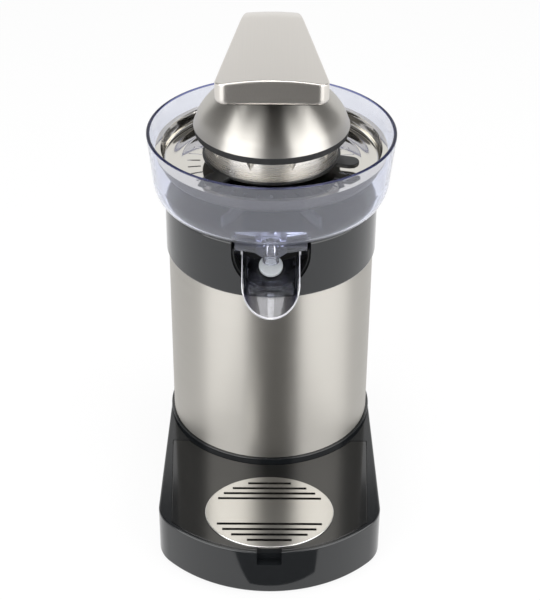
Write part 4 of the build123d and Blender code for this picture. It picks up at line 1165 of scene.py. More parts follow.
@dataclass
class BaseUnit(Assembly):
    """Base housing, drip tray and drip grille."""

    back_r: float = 66.8
    side_x: float = 69.2
    front_r: float = 86.0
    front_y: float = 153.4
    corner_r: float = 25.0
    wall: float = 2.4
    deck: float = 5.0
    edge: float = 1.2
    tray_t: float = 2.0
    tray_rim: float = 2.6
    tray_rear_y: float = 44.0
    tray_rear_x: float = 63.6
    tray_front_x: float = 59.6
    body_gap_r: float = 69.0
    well_depth: float = 11.0
    well_wall: float = 1.6
    ledge: float = 3.0
    notch_w: float = 15.0
    notch_h: float = 9.5
    notch_d: float = 5.5
    bore_r: float = 57.0
    gap: float = 0.3
    seat_gap: float = 0.15
    slot_w: float = 2.0
    slot_pitch: float = 4.9
    slot_band: float = 12.0
    slot_rows: int = 4
    slot_margin: float = 4.4
    edge_steps: int = 4
    tray_edge: float = 0.35
    plate_edge: float = 0.45
    plate_steps: int = 3
    well_sink: float = 1.0
    corner_steps: int = 16
    front_steps: int = 48
    back_steps: int = 80
    oval_steps: int = 120

    def outline(self, inset: float) -> Outline:
        """Plan of the base: round back, straight sides, round corners and a wide round front.

        Args:
            inset: how far the plan is drawn in.

        Returns:
            The plan's points, from the left of the back round to the left side.
        """
        back = self.back_r - inset
        side = self.side_x - inset
        front = self.front_r - inset
        corner = self.corner_r - inset
        centre_y = self.front_r - self.front_y
        centre = Vector((0.0, centre_y))
        low_y = centre_y - sqrt(front**2 - side**2)
        run = Vector((side - back, low_y)).normalized()
        inward = Vector((run.y, -run.x))
        start = Vector((back, 0.0)) + inward * corner
        to_centre = start - centre
        along = to_centre.dot(run)
        reach = -along + sqrt(along**2 - to_centre.length_squared + (front - corner) ** 2)
        hub = start + run * reach
        first = hub - inward * corner
        second = centre + (hub - centre) * (front / (front - corner))
        front_angle = bearing(second - centre)
        right = arc((hub.x, hub.y), corner, bearing(first - hub), bearing(second - hub), self.corner_steps)
        middle = arc((0.0, centre_y), front, front_angle, -180 - front_angle, self.front_steps)
        left = [(-x, y) for x, y in reversed(right)]
        rear = arc((0.0, 0.0), back, 180, 0, self.back_steps)
        plan = rear + right + middle[1:-1] + left
        return [(x, y + self.axis_y) for x, y in plan]

    def tray_outline(self, grow: float) -> Outline:
        """Plan of the tray insert: the base's front, straight sides and a back that clears the body.

        Args:
            grow: gap that the plan is grown by.

        Returns:
            The plan's points.
        """
        rear_x = self.tray_rear_x + grow
        front_x = self.tray_front_x + grow
        rear_y = grow - self.tray_rear_y
        radius = self.body_gap_r - grow

        def half_width(y: float) -> float:
            """Half of the tray's width between its straight sides."""
            return rear_x + (front_x - rear_x) * (rear_y - y) / (self.front_y + rear_y)

        edge = [(x, y - self.axis_y) for x, y in self.outline(self.tray_rim - grow)]
        front = [(x, y) for x, y in edge if y < rear_y and abs(x) <= half_width(y)]
        angle = bearing(Vector((sqrt(radius**2 - rear_y**2), rear_y)))
        back = arc((0.0, 0.0), radius, -180 - angle, angle, self.front_steps)
        plan = [(rear_x, rear_y), *front, (-rear_x, rear_y), *back]
        return [(x, y + self.axis_y) for x, y in plan]

    def oval(self, grow: float) -> Outline:
        """Plan of the drip grille.

        Args:
            grow: gap that the plan is grown by.

        Returns:
            The plan's points.
        """
        low, high = box_mm("drip_grille")
        half = (high - low) / 2
        centre = (low + high) / 2
        turn = [2 * pi * k / self.oval_steps for k in range(self.oval_steps)]
        return [((half.x + grow) * cos(a), centre.y + (half.y + grow) * sin(a)) for a in turn]

    def build(self) -> None:
        """Makes the base, tray and grille."""
        self._base()
        self._tray()
        self._grille()

    def _notch(self, name: str) -> Piece:
        """Makes a cutter for the finger notch, which runs through base and tray.

        Args:
            name: the cutter's name.

        Returns:
            The cutter.
        """
        low, high = box_mm("base_housing")
        half = self.notch_w / 2
        return cuboid(
            name,
            (-half, low.y - self.wall, high.z - self.notch_h),
            (half, low.y + self.notch_d, high.z + self.wall),
        )

    def _base(self) -> None:
        """Makes the base housing with its notch and the cup behind the notch."""
        low, high = box_mm("base_housing")
        low_z = low.z
        top_z = high.z
        past = top_z + PAST
        shell = round_edges(
            prism("base_shell", self.outline(0), low_z, top_z), self.edge, self.edge_steps
        )
        combine(
            shell,
            [
                prism("cavity", self.outline(self.wall), low_z - PAST, top_z - self.deck),
                prism("pocket", self.tray_outline(self.gap), top_z - self.tray_t, past),
                prism("well", self.oval(self.well_wall + self.gap - self.ledge), low_z, top_z),
                prism("bore", circle((0, self.axis_y), self.bore_r, self.oval_steps), low_z, past),
                self._notch("notch"),
            ],
            "DIFFERENCE",
        )
        cup_side = self.notch_w / 2 + self.wall
        cup = cuboid(
            "notch_cup",
            (-cup_side, low.y + self.wall, top_z - self.notch_h - self.wall),
            (cup_side, low.y + self.notch_d + self.wall, top_z - self.tray_t - self.gap),
        )
        combine(cup, [self._notch("notch_again")], "DIFFERENCE")
        combine(shell, [cup], "UNION")
        dress(shell, self.finishes["gloss_black_plastic"], Body.HOUSING, "base_housing")

    def _tray(self) -> None:
        """Makes the tray insert with its well and the seat of the grille."""
        top_z = box_mm("base_housing")[1].z
        well_z = top_z - self.well_depth
        tray = prism("tray_insert", self.tray_outline(0), top_z - self.tray_t, top_z)
        round_edges(tray, self.tray_edge)
        cup = prism("tray_well", self.oval(self.well_wall - self.ledge), well_z, top_z - self.well_sink)
        combine(tray, [cup], "UNION")
        seat_z = box_mm("drip_grille")[0].z
        combine(
            tray,
            [
                prism("well_room", self.oval(-self.ledge), well_z + self.well_wall, top_z + PAST),
                prism("seat", self.oval(self.seat_gap), seat_z, top_z + PAST),
                self._notch("tray_notch"),
            ],
            "DIFFERENCE",
        )
        dress(tray, self.finishes["polished_black_plastic"], Body.TRAY, "drip_tray")

    def _grille(self) -> None:
        """Makes the slotted oval plate."""
        low, high = box_mm("drip_grille")
        steel = self.finishes["grille_steel"]
        plate = round_edges(
            prism("grille_plate", self.oval(0), low.z, high.z), self.plate_edge, self.plate_steps
        )
        half = (high - low) / 2
        RowsOfSlots().run(
            plate,
            {
                "Rows": self.slot_rows,
                "Oval": (half - Vector((self.slot_margin, self.slot_margin, 0.0))) * MM,
                "Centre": (low + high) / 2 * MM,
                "Band": self.slot_band * MM,
                "Pitch": self.slot_pitch * MM,
                "Slot size": (0.0, self.slot_w * MM, 4 * half.z * MM),
                "Material": steel,
            },
        )
        dress(plate, steel, Body.GRILLE, "drip_grille")


@dataclass
class BodyColumn(Assembly):
    """Foot ring, steel sleeve and the black upper housing with its spout recess."""

    sleeve_r: float = 65.0
    sleeve_wall: float = 0.8
    ring_r: float = 66.8
    ring_bore: float = 57.0
    spigot_h: float = 9.0
    spigot_wall: float = 2.0
    collar_r: float = 66.4
    collar_h: float = 37.2
    collar_deck: float = 3.0
    collar_edge: float = 1.8
    tower_r: float = 9.0
    tower_bore: float = 6.5
    tower_h: float = 20.0
    recess_r: float = 23.8
    recess_drop: float = 8.3
    recess_back: float = 50.0
    recess_past: float = 5.0
    recess_steps: int = 48
    run: float = 0.05
    ring_edge: float = 0.5
    sleeve_edge: float = 0.25

    def build(self) -> None:
        """Makes the three pieces."""
        low, high = box_mm("steel_sleeve")
        inner = self.sleeve_r - self.sleeve_wall
        spigot = inner - self.run
        self._ring(low.z, spigot)
        edge = self.sleeve_edge
        sleeve = self.turned(
            "brushed_sleeve",
            (inner, low.z),
            *arc((self.sleeve_r - edge, low.z + edge), edge, -90, 0, 3),
            *arc((self.sleeve_r - edge, high.z - edge), edge, 0, 90, 3),
            (inner, high.z),
        )
        dress(sleeve, self.finishes["sleeve_steel"], Body.HOUSING, "steel_sleeve")
        self._collar(high.z, spigot)

    def _ring(self, low_z: float, spigot: float) -> None:
        """Makes the foot ring, whose spigot stands inside the sleeve.

        Args:
            low_z: height of the sleeve's lower edge.
            spigot: the spigot's radius.
        """
        bore = spigot - self.spigot_wall
        edge = self.ring_edge
        foot_z = box_mm("foot_ring")[0].z
        ring = self.turned(
            "sleeve_foot_ring",
            (self.ring_bore, foot_z),
            (self.ring_r, foot_z),
            *arc((self.ring_r - edge, low_z - edge), edge, 0, 90, 4),
            (spigot, low_z),
            (spigot, low_z + self.spigot_h),
            (bore, low_z + self.spigot_h),
            (bore, low_z),
            (self.ring_bore, low_z),
        )
        dress(ring, self.finishes["gloss_black_plastic"], Body.HOUSING, "foot_ring")

    def _collar(self, low_z: float, spigot: float) -> None:
        """Makes the upper housing with the bearing tower and the spout's recess.

        Args:
            low_z: height of the sleeve's upper edge.
            spigot: radius of its spigot in the sleeve.
        """
        bore = spigot - self.spigot_wall
        top = low_z + self.collar_h
        edge = self.collar_edge
        collar = self.turned(
            "collar_housing",
            (bore, low_z - self.spigot_h),
            (spigot, low_z - self.spigot_h),
            (spigot, low_z),
            *arc((self.collar_r - edge, low_z + edge), edge, -90, 0, 6),
            *arc((self.collar_r - edge, top - edge), edge, 0, 90, 6),
            (self.tower_r, top),
            (self.tower_r, top + self.tower_h),
            (self.tower_bore, top + self.tower_h),
            (self.tower_bore, top - self.collar_deck),
            (bore, top - self.collar_deck),
        )
        past = top + self.recess_past
        plan = [(self.recess_r, past), (-self.recess_r, past)]
        plan += arc((0.0, top - self.recess_drop), self.recess_r, 180, 360, self.recess_steps)
        front = self.axis_y - self.collar_r - self.recess_past
        room = prism("recess", plan, front, self.axis_y - self.recess_back, "Y")
        combine(collar, [room], "DIFFERENCE")
        dress(collar, self.finishes["gloss_black_plastic"], Body.HOUSING, "upper_housing")


@dataclass
class Spout(Assembly):
    """Smoked flip chute and its grey drip-stop pad, in the open position."""

    top_z: float
    pivot_y: float = 56.0
    pivot_drop: float = 10.3
    pivot_r: float = 2.0
    open_angle: float = 28.0
    half_w: float = 17.5
    depth: float = 7.0
    wall: float = 1.6
    rim: float = 1.2
    rear_y: float = 58.0
    straight_y: float = 80.0
    tip_y: float = 98.5
    ear_r: float = 3.6
    stub_end: float = 23.275
    nozzle_y: float = 63.8
    nozzle_l: float = 12.2
    pad_r: float = 7.2
    pad_t: float = 2.2
    pad_gap: float = 0.3
    post_r: float = 3.6
    edge: float = 0.3
    edge_angle: float = 50.0
    tongue_h: float = 40.0
    channel_steps: int = 40
    tongue_steps: int = 48
    ear_steps: int = 24

    def _channel(self, name: str, half: float, depth: float, start: float, end: float) -> Piece:
        """Half-oval trough along Y.

        Args:
            name: the object's name.
            half: half of its width.
            depth: its depth.
            start: its front end.
            end: its rear end.

        Returns:
            The trough as a filled piece.
        """
        rim_z = self.top_z - self.pivot_drop + self.rim
        turn = [pi + pi * k / self.channel_steps for k in range(self.channel_steps + 1)]
        section = [(half * cos(a), rim_z + depth * sin(a)) for a in turn]
        return prism(name, section, self.axis_y + start, self.axis_y + end, "Y")

    def build(self) -> None:
        """Makes the chute and the pad."""
        pivot_z = self.top_z - self.pivot_drop
        pivot_y = self.axis_y - self.pivot_y
        pad_top = self.top_z - self.nozzle_l - self.pad_gap
        pad_low = pad_top - self.pad_t
        pad_y = self.axis_y - self.nozzle_y

        chute = self._trough(pivot_z + self.rim)
        floor = pivot_z + self.rim - self.depth - self.wall / 2
        column = [(0, floor), (self.post_r, floor), (self.post_r, pad_low), (0, pad_low)]
        post = lathe("post", column, pad_y, steps=48)
        combine(chute, [post, *self._ears(pivot_y, pivot_z)], "UNION")
        swing(chute, pivot_y, pivot_z, self.open_angle)
        dress(chute, self.finishes["smoked_chute_plastic"], Body.CHUTE, "flip_chute")

        soft = self.pad_t / 4
        pad = lathe(
            "drip_pad",
            [
                (0, pad_low),
                (self.pad_r, pad_low),
                *arc((self.pad_r - soft, pad_top - soft), soft, 0, 90, 4),
                (0, pad_top),
            ],
            pad_y,
            steps=64,
        )
        swing(pad, pivot_y, pivot_z, self.open_angle)
        dress(pad, self.finishes["grey_silicone"], Body.CHUTE, "drip_stop_pad")

    def _trough(self, rim_z: float) -> Piece:
        """Makes the open trough with its oval tip.

        Args:
            rim_z: height of its rim.

        Returns:
            The trough.
        """
        tip = -self.tip_y - PAST
        chute = self._channel("spout_chute", self.half_w, self.depth + self.wall, tip, -self.rear_y)
        reach = self.tip_y - self.straight_y
        rear = self.axis_y - self.rear_y + PAST
        turn = [pi + pi * k / self.tongue_steps for k in range(self.tongue_steps + 1)]
        tongue = [(self.half_w * cos(a), self.axis_y - self.straight_y + reach * sin(a)) for a in turn]
        tongue += [(self.half_w, rear), (-self.half_w, rear)]
        combine(chute, [prism("tongue", tongue, rim_z - self.tongue_h, rim_z + PAST)], "INTERSECT")
        inside = self.half_w - self.wall
        hollow = self._channel("hollow", inside, self.depth, tip - PAST, -self.rear_y + PAST)
        combine(chute, [hollow], "DIFFERENCE")
        return round_edges(chute, self.edge, angle=self.edge_angle)

    def _ears(self, pivot_y: float, pivot_z: float) -> list[Piece]:
        """Makes the ears that carry the chute, with their bars and pivot stubs.

        Args:
            pivot_y: the pivot's place front to back.
            pivot_z: the pivot's height.

        Returns:
            The pieces of both sides.
        """
        low = pivot_z - self.ear_r / 2
        high = pivot_z + self.rim
        front = self.axis_y - self.rear_y - self.ear_r
        disc = circle((pivot_y, pivot_z), self.ear_r, self.ear_steps)
        stub = circle((pivot_y, pivot_z), self.pivot_r, self.ear_steps)
        bar = [(pivot_y, low), (front, low), (front, high), (pivot_y, high)]
        ears = []
        for side in (-1, 1):
            inside = side * (self.half_w - self.wall)
            wall = sorted((inside, side * self.half_w))
            reach = sorted((inside, side * self.stub_end))
            ears.append(prism("ear", disc, *wall, "X"))
            ears.append(prism("stub", stub, *reach, "X"))
            ears.append(prism("bar", bar, *wall, "X"))
        return ears


@dataclass
class JuiceBowl(Assembly):
    """Clear bowl with its nozzle, and the steel sieve dish that hangs on its chimney."""

    top_z: float
    height: float = 43.8
    rim_r: float = 76.7
    belly_r: float = 74.0
    corner_r: float = 8.5
    corner_h: float = 18.0
    wall: float = 2.2
    floor: float = 2.2
    chimney_bore: float = 9.3
    chimney_wall: float = 2.0
    chimney_h: float = 24.0
    shoulder_r: float = 15.0
    shoulder_h: float = 21.0
    rib_t: float = 2.0
    rib_out: float = 58.0
    rib_count: int = 6
    lug_half: float = 21.5
    lug_end_h: float = 0.8
    lug_knee_x: float = 9.4
    lug_knee_h: float = 2.8
    lug_foot_x: float = 5.6
    lug_h: float = 5.5
    lug_sink: float = 0.5
    lug_front: float = 70.5
    lug_back: float = 51.8
    nozzle_y: float = 63.8
    nozzle_r: float = 5.0
    nozzle_bore: float = 3.4
    nozzle_l: float = 12.2
    sieve_wall: float = 0.8
    sieve_rim_r: float = 71.4
    sieve_lip: float = 2.4
    sieve_rise: float = 33.0
    sieve_floor_r: float = 56.0
    sieve_hub: float = 11.6
    sieve_hub_h: float = 3.6
    slot_count: int = 36
    slot_w: float = 1.4
    slot_in: float = 44.0
    slot_out: float = 52.0
    lip_share: float = 0.45
    lug_edge: float = 0.5
    lug_angle: float = 20.0
    corner_steps: int = 16
    bend_out: float = 0.84
    bend_up: float = 0.22
    bend_steps: int = 8
    outward: float = 0.1
    downward: float = -0.3

    def build(self) -> None:
        """Makes the bowl and the sieve."""
        self._bowl()
        self._sieve()

    def _bowl(self) -> None:
        """Makes the clear bowl as one closed piece."""
        foot = self.belly_r - self.corner_r
        bend = self.top_z + self.corner_h
        rim = self.top_z + self.height
        floor = self.top_z + self.floor
        inner = self.corner_r - self.wall
        turn = [pi / 2 * k / self.corner_steps for k in range(self.corner_steps + 1)]
        outer_corner = [(foot + self.corner_r * sin(a), bend - self.corner_h * cos(a)) for a in turn]
        inner_corner = [(foot + inner * cos(a), bend - (bend - floor) * sin(a)) for a in turn]
        soft = self.wall * self.lip_share
        outside = self.chimney_bore + self.chimney_wall
        bowl = self.turned(
            "clear_bowl",
            (self.chimney_bore, self.top_z),
            *outer_corner,
            *arc((self.rim_r - soft, rim - soft), soft, 0, 90, 4),
            *arc((self.rim_r - self.wall + soft, rim - soft), soft, 90, 180, 4),
            *inner_corner,
            (self.shoulder_r, floor),
            (self.shoulder_r, self.top_z + self.shoulder_h),
            (outside, self.top_z + self.shoulder_h),
            (outside, self.top_z + self.chimney_h),
            (self.chimney_bore, self.top_z + self.chimney_h),
        )
        lug, nozzle, bore = self._outlet(floor)
        combine(bowl, [lug, nozzle, *self._ribs(floor)], "UNION")
        combine(bowl, [bore], "DIFFERENCE")
        dress(bowl, self.finishes["clear_bowl_plastic"], Body.HOUSING, "juice_bowl")

    def _outlet(self, floor: float) -> tuple[Piece, Piece, Piece]:
        """Makes the lug and the nozzle below the bowl.

        Args:
            floor: height of the bowl's floor inside.

        Returns:
            The lug, the nozzle and the cutter of the nozzle's bore.
        """
        lug_low = self.top_z - self.lug_h
        right = [
            (self.lug_half, floor - self.lug_sink),
            (self.lug_half, self.top_z - self.lug_end_h),
            (self.lug_knee_x, self.top_z - self.lug_knee_h),
            (self.lug_foot_x, lug_low),
        ]
        left = [(-x, z) for x, z in reversed(right)]
        lug = prism("lug", right + left, self.axis_y - self.lug_front, self.axis_y - self.lug_back, "Y")
        round_edges(lug, self.lug_edge, angle=self.lug_angle)
        nozzle_y = self.axis_y - self.nozzle_y
        end = self.top_z - self.nozzle_l
        root = lug_low + PAST
        tube = [(0, end), (self.nozzle_r, end), (self.nozzle_r, root), (0, root)]
        nozzle = lathe("nozzle", tube, nozzle_y, steps=64)
        low = end - PAST
        high = floor + 2 * PAST
        hole = [(0, low), (self.nozzle_bore, low), (self.nozzle_bore, high), (0, high)]
        return lug, nozzle, lathe("bore", hole, nozzle_y, steps=48)

    def _ribs(self, floor: float) -> list[Piece]:
        """Makes the ribs on the bowl's floor, which join the clear bowl without walls inside it.

        Args:
            floor: height of the bowl's floor inside.

        Returns:
            The ribs.
        """
        ribs = []
        for k in range(self.rib_count):
            rib = cuboid(
                "rib",
                (self.shoulder_r - PAST, -self.rib_t / 2, floor - self.floor / 2),
                (self.rib_out, self.rib_t / 2, self.top_z + self.shoulder_h / 2),
            )
            turn = Matrix.Rotation(2 * pi * k / self.rib_count, 4, "Z")
            rib.data.transform(Matrix.Translation((0, self.axis_y * MM, 0)) @ turn)
            ribs.append(rib)
        return ribs

    def _sieve(self) -> None:
        """Makes the dish with its ring of slots."""
        low = box_mm("sieve")[0].z
        rim = self.top_z + self.sieve_rise
        t = self.sieve_wall
        wall_r = self.sieve_rim_r - self.sieve_lip
        bend_r = self.sieve_floor_r + self.bend_out * (wall_r - self.sieve_floor_r)
        bend_z = low + self.bend_up * (rim - low)
        under = through([(self.sieve_floor_r, low), (bend_r, bend_z), (wall_r, rim - t)], self.bend_steps)
        inside = [(wall_r - t, rim), (bend_r - t, bend_z + t / 2), (self.sieve_floor_r, low + t)]
        over = through(inside, self.bend_steps)
        dish = self.turned(
            "sieve_dish",
            (self.sieve_hub, low),
            *under,
            (self.sieve_rim_r, rim - t),
            (self.sieve_rim_r, rim),
            *over,
            (self.sieve_hub + t, low + t),
            (self.sieve_hub + t, low + self.sieve_hub_h),
            (self.sieve_hub, low + self.sieve_hub_h),
        )
        steel = self.finishes["sieve_steel"]
        RingOfSlots().run(
            dish,
            {
                "Count": self.slot_count,
                "Slot size": ((self.slot_out - self.slot_in) * MM, self.slot_w * MM, 4 * t * MM),
                "Slot place": ((self.slot_in + self.slot_out) / 2 * MM, 0.0, (low + t / 2) * MM),
                "Axis": (0.0, self.axis_y * MM, 0.0),
                "Material": steel,
            },
        )
        self._mark_underside(dish)
        dress(dish, steel, Body.HOUSING, "sieve")

    def _mark_underside(self, dish: Piece) -> None:
        """Marks the faces that look outwards or down, for the dish's rougher outside and its painted shade.

        Args:
            dish: the sieve dish.
        """
        mark = dish.data.attributes.new(UNDERSIDE, "FLOAT", "FACE")
        for face, value in zip(dish.data.polygons, mark.data):
            out = Vector((face.center.x, face.center.y - self.axis_y * MM, 0.0)).normalized()
            value.value = float(face.normal.dot(out) > self.outward or face.normal.z < self.downward)


@dataclass
class Reamer(Assembly):
    """Ribbed steel cone on its black base with pulp wings."""

    base_r: float = 42.6
    base_t: float = 1.4
    cone_r: float = 41.0
    band_h: float = 11.8
    band_in: float = 0.8
    height: float = 43.8
    mid_r: float = 27.0
    mid_h: float = 28.8
    wall: float = 1.6
    rib_count: int = 10
    rib_half: float = 4.0
    rib_proud: float = 3.2
    rib_low: float = 5.5
    rib_point: float = 8.0
    rib_tip: float = 0.4
    wing_r: float = 55.0
    wing_w: float = 12.0
    wing_t: float = 2.6
    wing_drop: float = 1.4
    wing_count: int = 3
    wing_phase: float = -14.0
    skirt_r: float = 15.6
    skirt_t: float = 1.8
    skirt_h: float = 2.6
    line_steps: int = 28
    drape: float = 0.7
    band_steps: int = 8
    crowd: float = 0.9
    rib_columns: int = 6
    rib_body: float = 0.42
    rib_crest: float = 0.58
    crest_half: float = 0.35
    base_edge: float = 0.5
    wing_root: float = 3.0
    wing_edge: float = 0.5

    def _cone_line(self, foot_z: float) -> Outline:
        """Upper outline of the cone.

        Args:
            foot_z: height of the cone's lower edge.

        Returns:
            The outline's points, from the top of the cone's band to its tip.
        """
        start = (self.cone_r - self.band_in, foot_z + self.band_h)
        middle = (self.mid_r, foot_z + self.mid_h)
        tip = (0.0, foot_z + self.height)
        return arc_through(start, middle, tip, self.line_steps)

    def build(self) -> None:
        """Makes the cone with its ribs, and the base with its wings."""
        foot_z = box_mm("reamer_cone")[0].z
        steel = self.finishes["cone_steel"]
        line = self._cone_line(foot_z)
        inside = [(max(r - self.wall, 0.0), z - self.wall * self.drape) for r, z in reversed(line)]
        inside[0] = (0.0, line[-1][1] - self.wall)
        outer_foot = (self.cone_r, foot_z)
        inner_foot = (self.cone_r - self.wall, foot_z)
        cone = self.turned("reamer_shell", outer_foot, *line, *inside, inner_foot)
        rib = self._rib(foot_z)
        RingOfPieces().run(
            cone,
            {
                "Piece": rib,
                "Count": self.rib_count,
                "Phase": 0.0,
                "Axis": (0.0, self.axis_y * MM, 0.0),
                "Material": steel,
            },
        )
        bpy.data.objects.remove(rib)
        dress(cone, steel, Body.DRIVE, "reamer_cone")
        self._base(foot_z)

    def _rib(self, foot_z: float) -> Piece:
        """Makes one rib, drawn out of the sheet: pointed at its foot, round on its crest.

        Args:
            foot_z: height of the cone's lower edge.

        Returns:
            The rib, along +X from an axis through the origin.
        """
        run = self.band_h - self.rib_low
        rises = [self.rib_low + run * k / self.band_steps for k in range(self.band_steps)]
        band = [(self.cone_r - self.band_in * rise / self.band_h, foot_z + rise) for rise in rises]
        path = band + self._cone_line(foot_z)[:-2]
        tip_z = foot_z + self.height
        mid_z = foot_z + self.mid_h
        shape = bmesh.new()
        rows = []
        for k, (r, z) in enumerate(path):
            before = path[max(k - 1, 0)]
            after = path[min(k + 1, len(path) - 1)]
            step = Vector((after[0] - before[0], after[1] - before[1])).normalized()
            out = Vector((step.y, -step.x))
            swell = min(1.0, (z - foot_z - self.rib_low) / self.rib_point)
            wide = min(self.rib_half * swell, self.crowd * pi * r / self.rib_count)
            fade = max(0.0, (z - mid_z) / (tip_z - mid_z))
            high = self.rib_proud * swell * (1 - (1 - self.rib_tip) * fade)
            row = []
            for j in range(2 * self.rib_columns + 1):
                across = j / self.rib_columns - 1
                crest = exp(-((across / self.crest_half) ** 2))
                ridge = self.rib_body * (1 - across**4) + self.rib_crest * crest
                lift = high * ridge - self.wall / 4
                row.append(shape.verts.new((r + out.x * lift, wide * across, z + out.y * lift)))
            rows.append(row)
        for low, above in zip(rows, rows[1:]):
            for a, b, c, d in zip(low, low[1:], above[1:], above):
                shape.faces.new((a, b, c, d))
            shape.faces.new((low[-1], low[0], above[0], above[-1]))
        shape.faces.new(rows[-1])
        return new_piece("rib", shape)

    def _base(self, foot_z: float) -> None:
        """Makes the black base with its wings.

        Args:
            foot_z: height of the cone's lower edge.
        """
        black = self.finishes["satin_black_plastic"]
        low = foot_z - self.base_t
        skirt = low - self.skirt_h
        edge = self.base_edge
        base = self.turned(
            "reamer_foot",
            (0, low),
            (self.skirt_r - self.skirt_t, low),
            (self.skirt_r - self.skirt_t, skirt),
            (self.skirt_r, skirt),
            (self.skirt_r, low),
            *arc((self.base_r - edge, low + edge), edge, -90, 0, 3),
            *arc((self.base_r - edge, foot_z - edge), edge, 0, 90, 3),
            (0, foot_z),
        )
        half = self.wing_w / 2
        root = self.base_r - self.wing_root
        plan = [(root, -half), *arc((self.wing_r - half, 0.0), half, -90, 90, 16), (root, half)]
        wing_z = low - self.wing_drop
        wing = round_edges(prism("wing", plan, wing_z, wing_z + self.wing_t), self.wing_edge)
        RingOfPieces().run(
            base,
            {
                "Piece": wing,
                "Count": self.wing_count,
                "Phase": radians(self.wing_phase),
                "Axis": (0.0, self.axis_y * MM, 0.0),
                "Material": black,
            },
        )
        bpy.data.objects.remove(wing)
        dress(base, black, Body.DRIVE, "reamer_base")


@dataclass
class PressDome(Assembly):
    """Spun steel dome with its black rim ring."""

    radius: float = 47.9
    top_r: float = 11.0
    wall: float = 1.0
    shoulder: Point = (44.0, 9.0)
    haunch: Point = (36.2, 18.0)
    crown: Point = (24.2, 27.0)
    ring_r: float = 47.25
    ring_t: float = 3.0
    ring_drop: float = 1.0
    ring_edge: float = 0.6
    line_steps: int = 12

    def build(self) -> None:
        """Makes the dome and the ring."""
        low, high = box_mm("press_dome")
        tall = high.z - low.z
        guide = [(self.radius, 0.0), self.shoulder, self.haunch, self.crown, (self.top_r, tall)]
        outer = [(r, low.z + z) for r, z in through(guide, self.line_steps)]
        inner = [(max(r - self.wall, 0.0), z - self.wall * (z - low.z) / tall) for r, z in reversed(outer)]
        dome = self.turned("spun_dome", *outer, (0.0, high.z), (0.0, high.z - self.wall), *inner)
        dress(dome, self.finishes["dome_steel"], Body.DOME, "press_dome")

        ring_low, ring_high = box_mm("dome_rim")
        ring_low.z -= self.ring_drop
        edge = self.ring_edge
        inside = self.ring_r - self.ring_t
        ring = self.turned(
            "dome_edge_ring",
            *arc((self.ring_r - edge, ring_low.z + edge), edge, -90, 0, 4),
            *arc((self.ring_r - edge, ring_high.z - edge), edge, 0, 90, 4),
            (inside, ring_high.z),
            (inside, ring_low.z),
        )
        dress(ring, self.finishes["black_rubber"], Body.DOME, "dome_rim")


@dataclass(frozen=True)
class Station:
    """Place along the lever where its section is drawn.

    It holds the section's top and bottom in Y and Z, its depth behind the front and its share of the crown.
    """

    top: Vector
    bottom: Vector
    depth: float
    crown: float


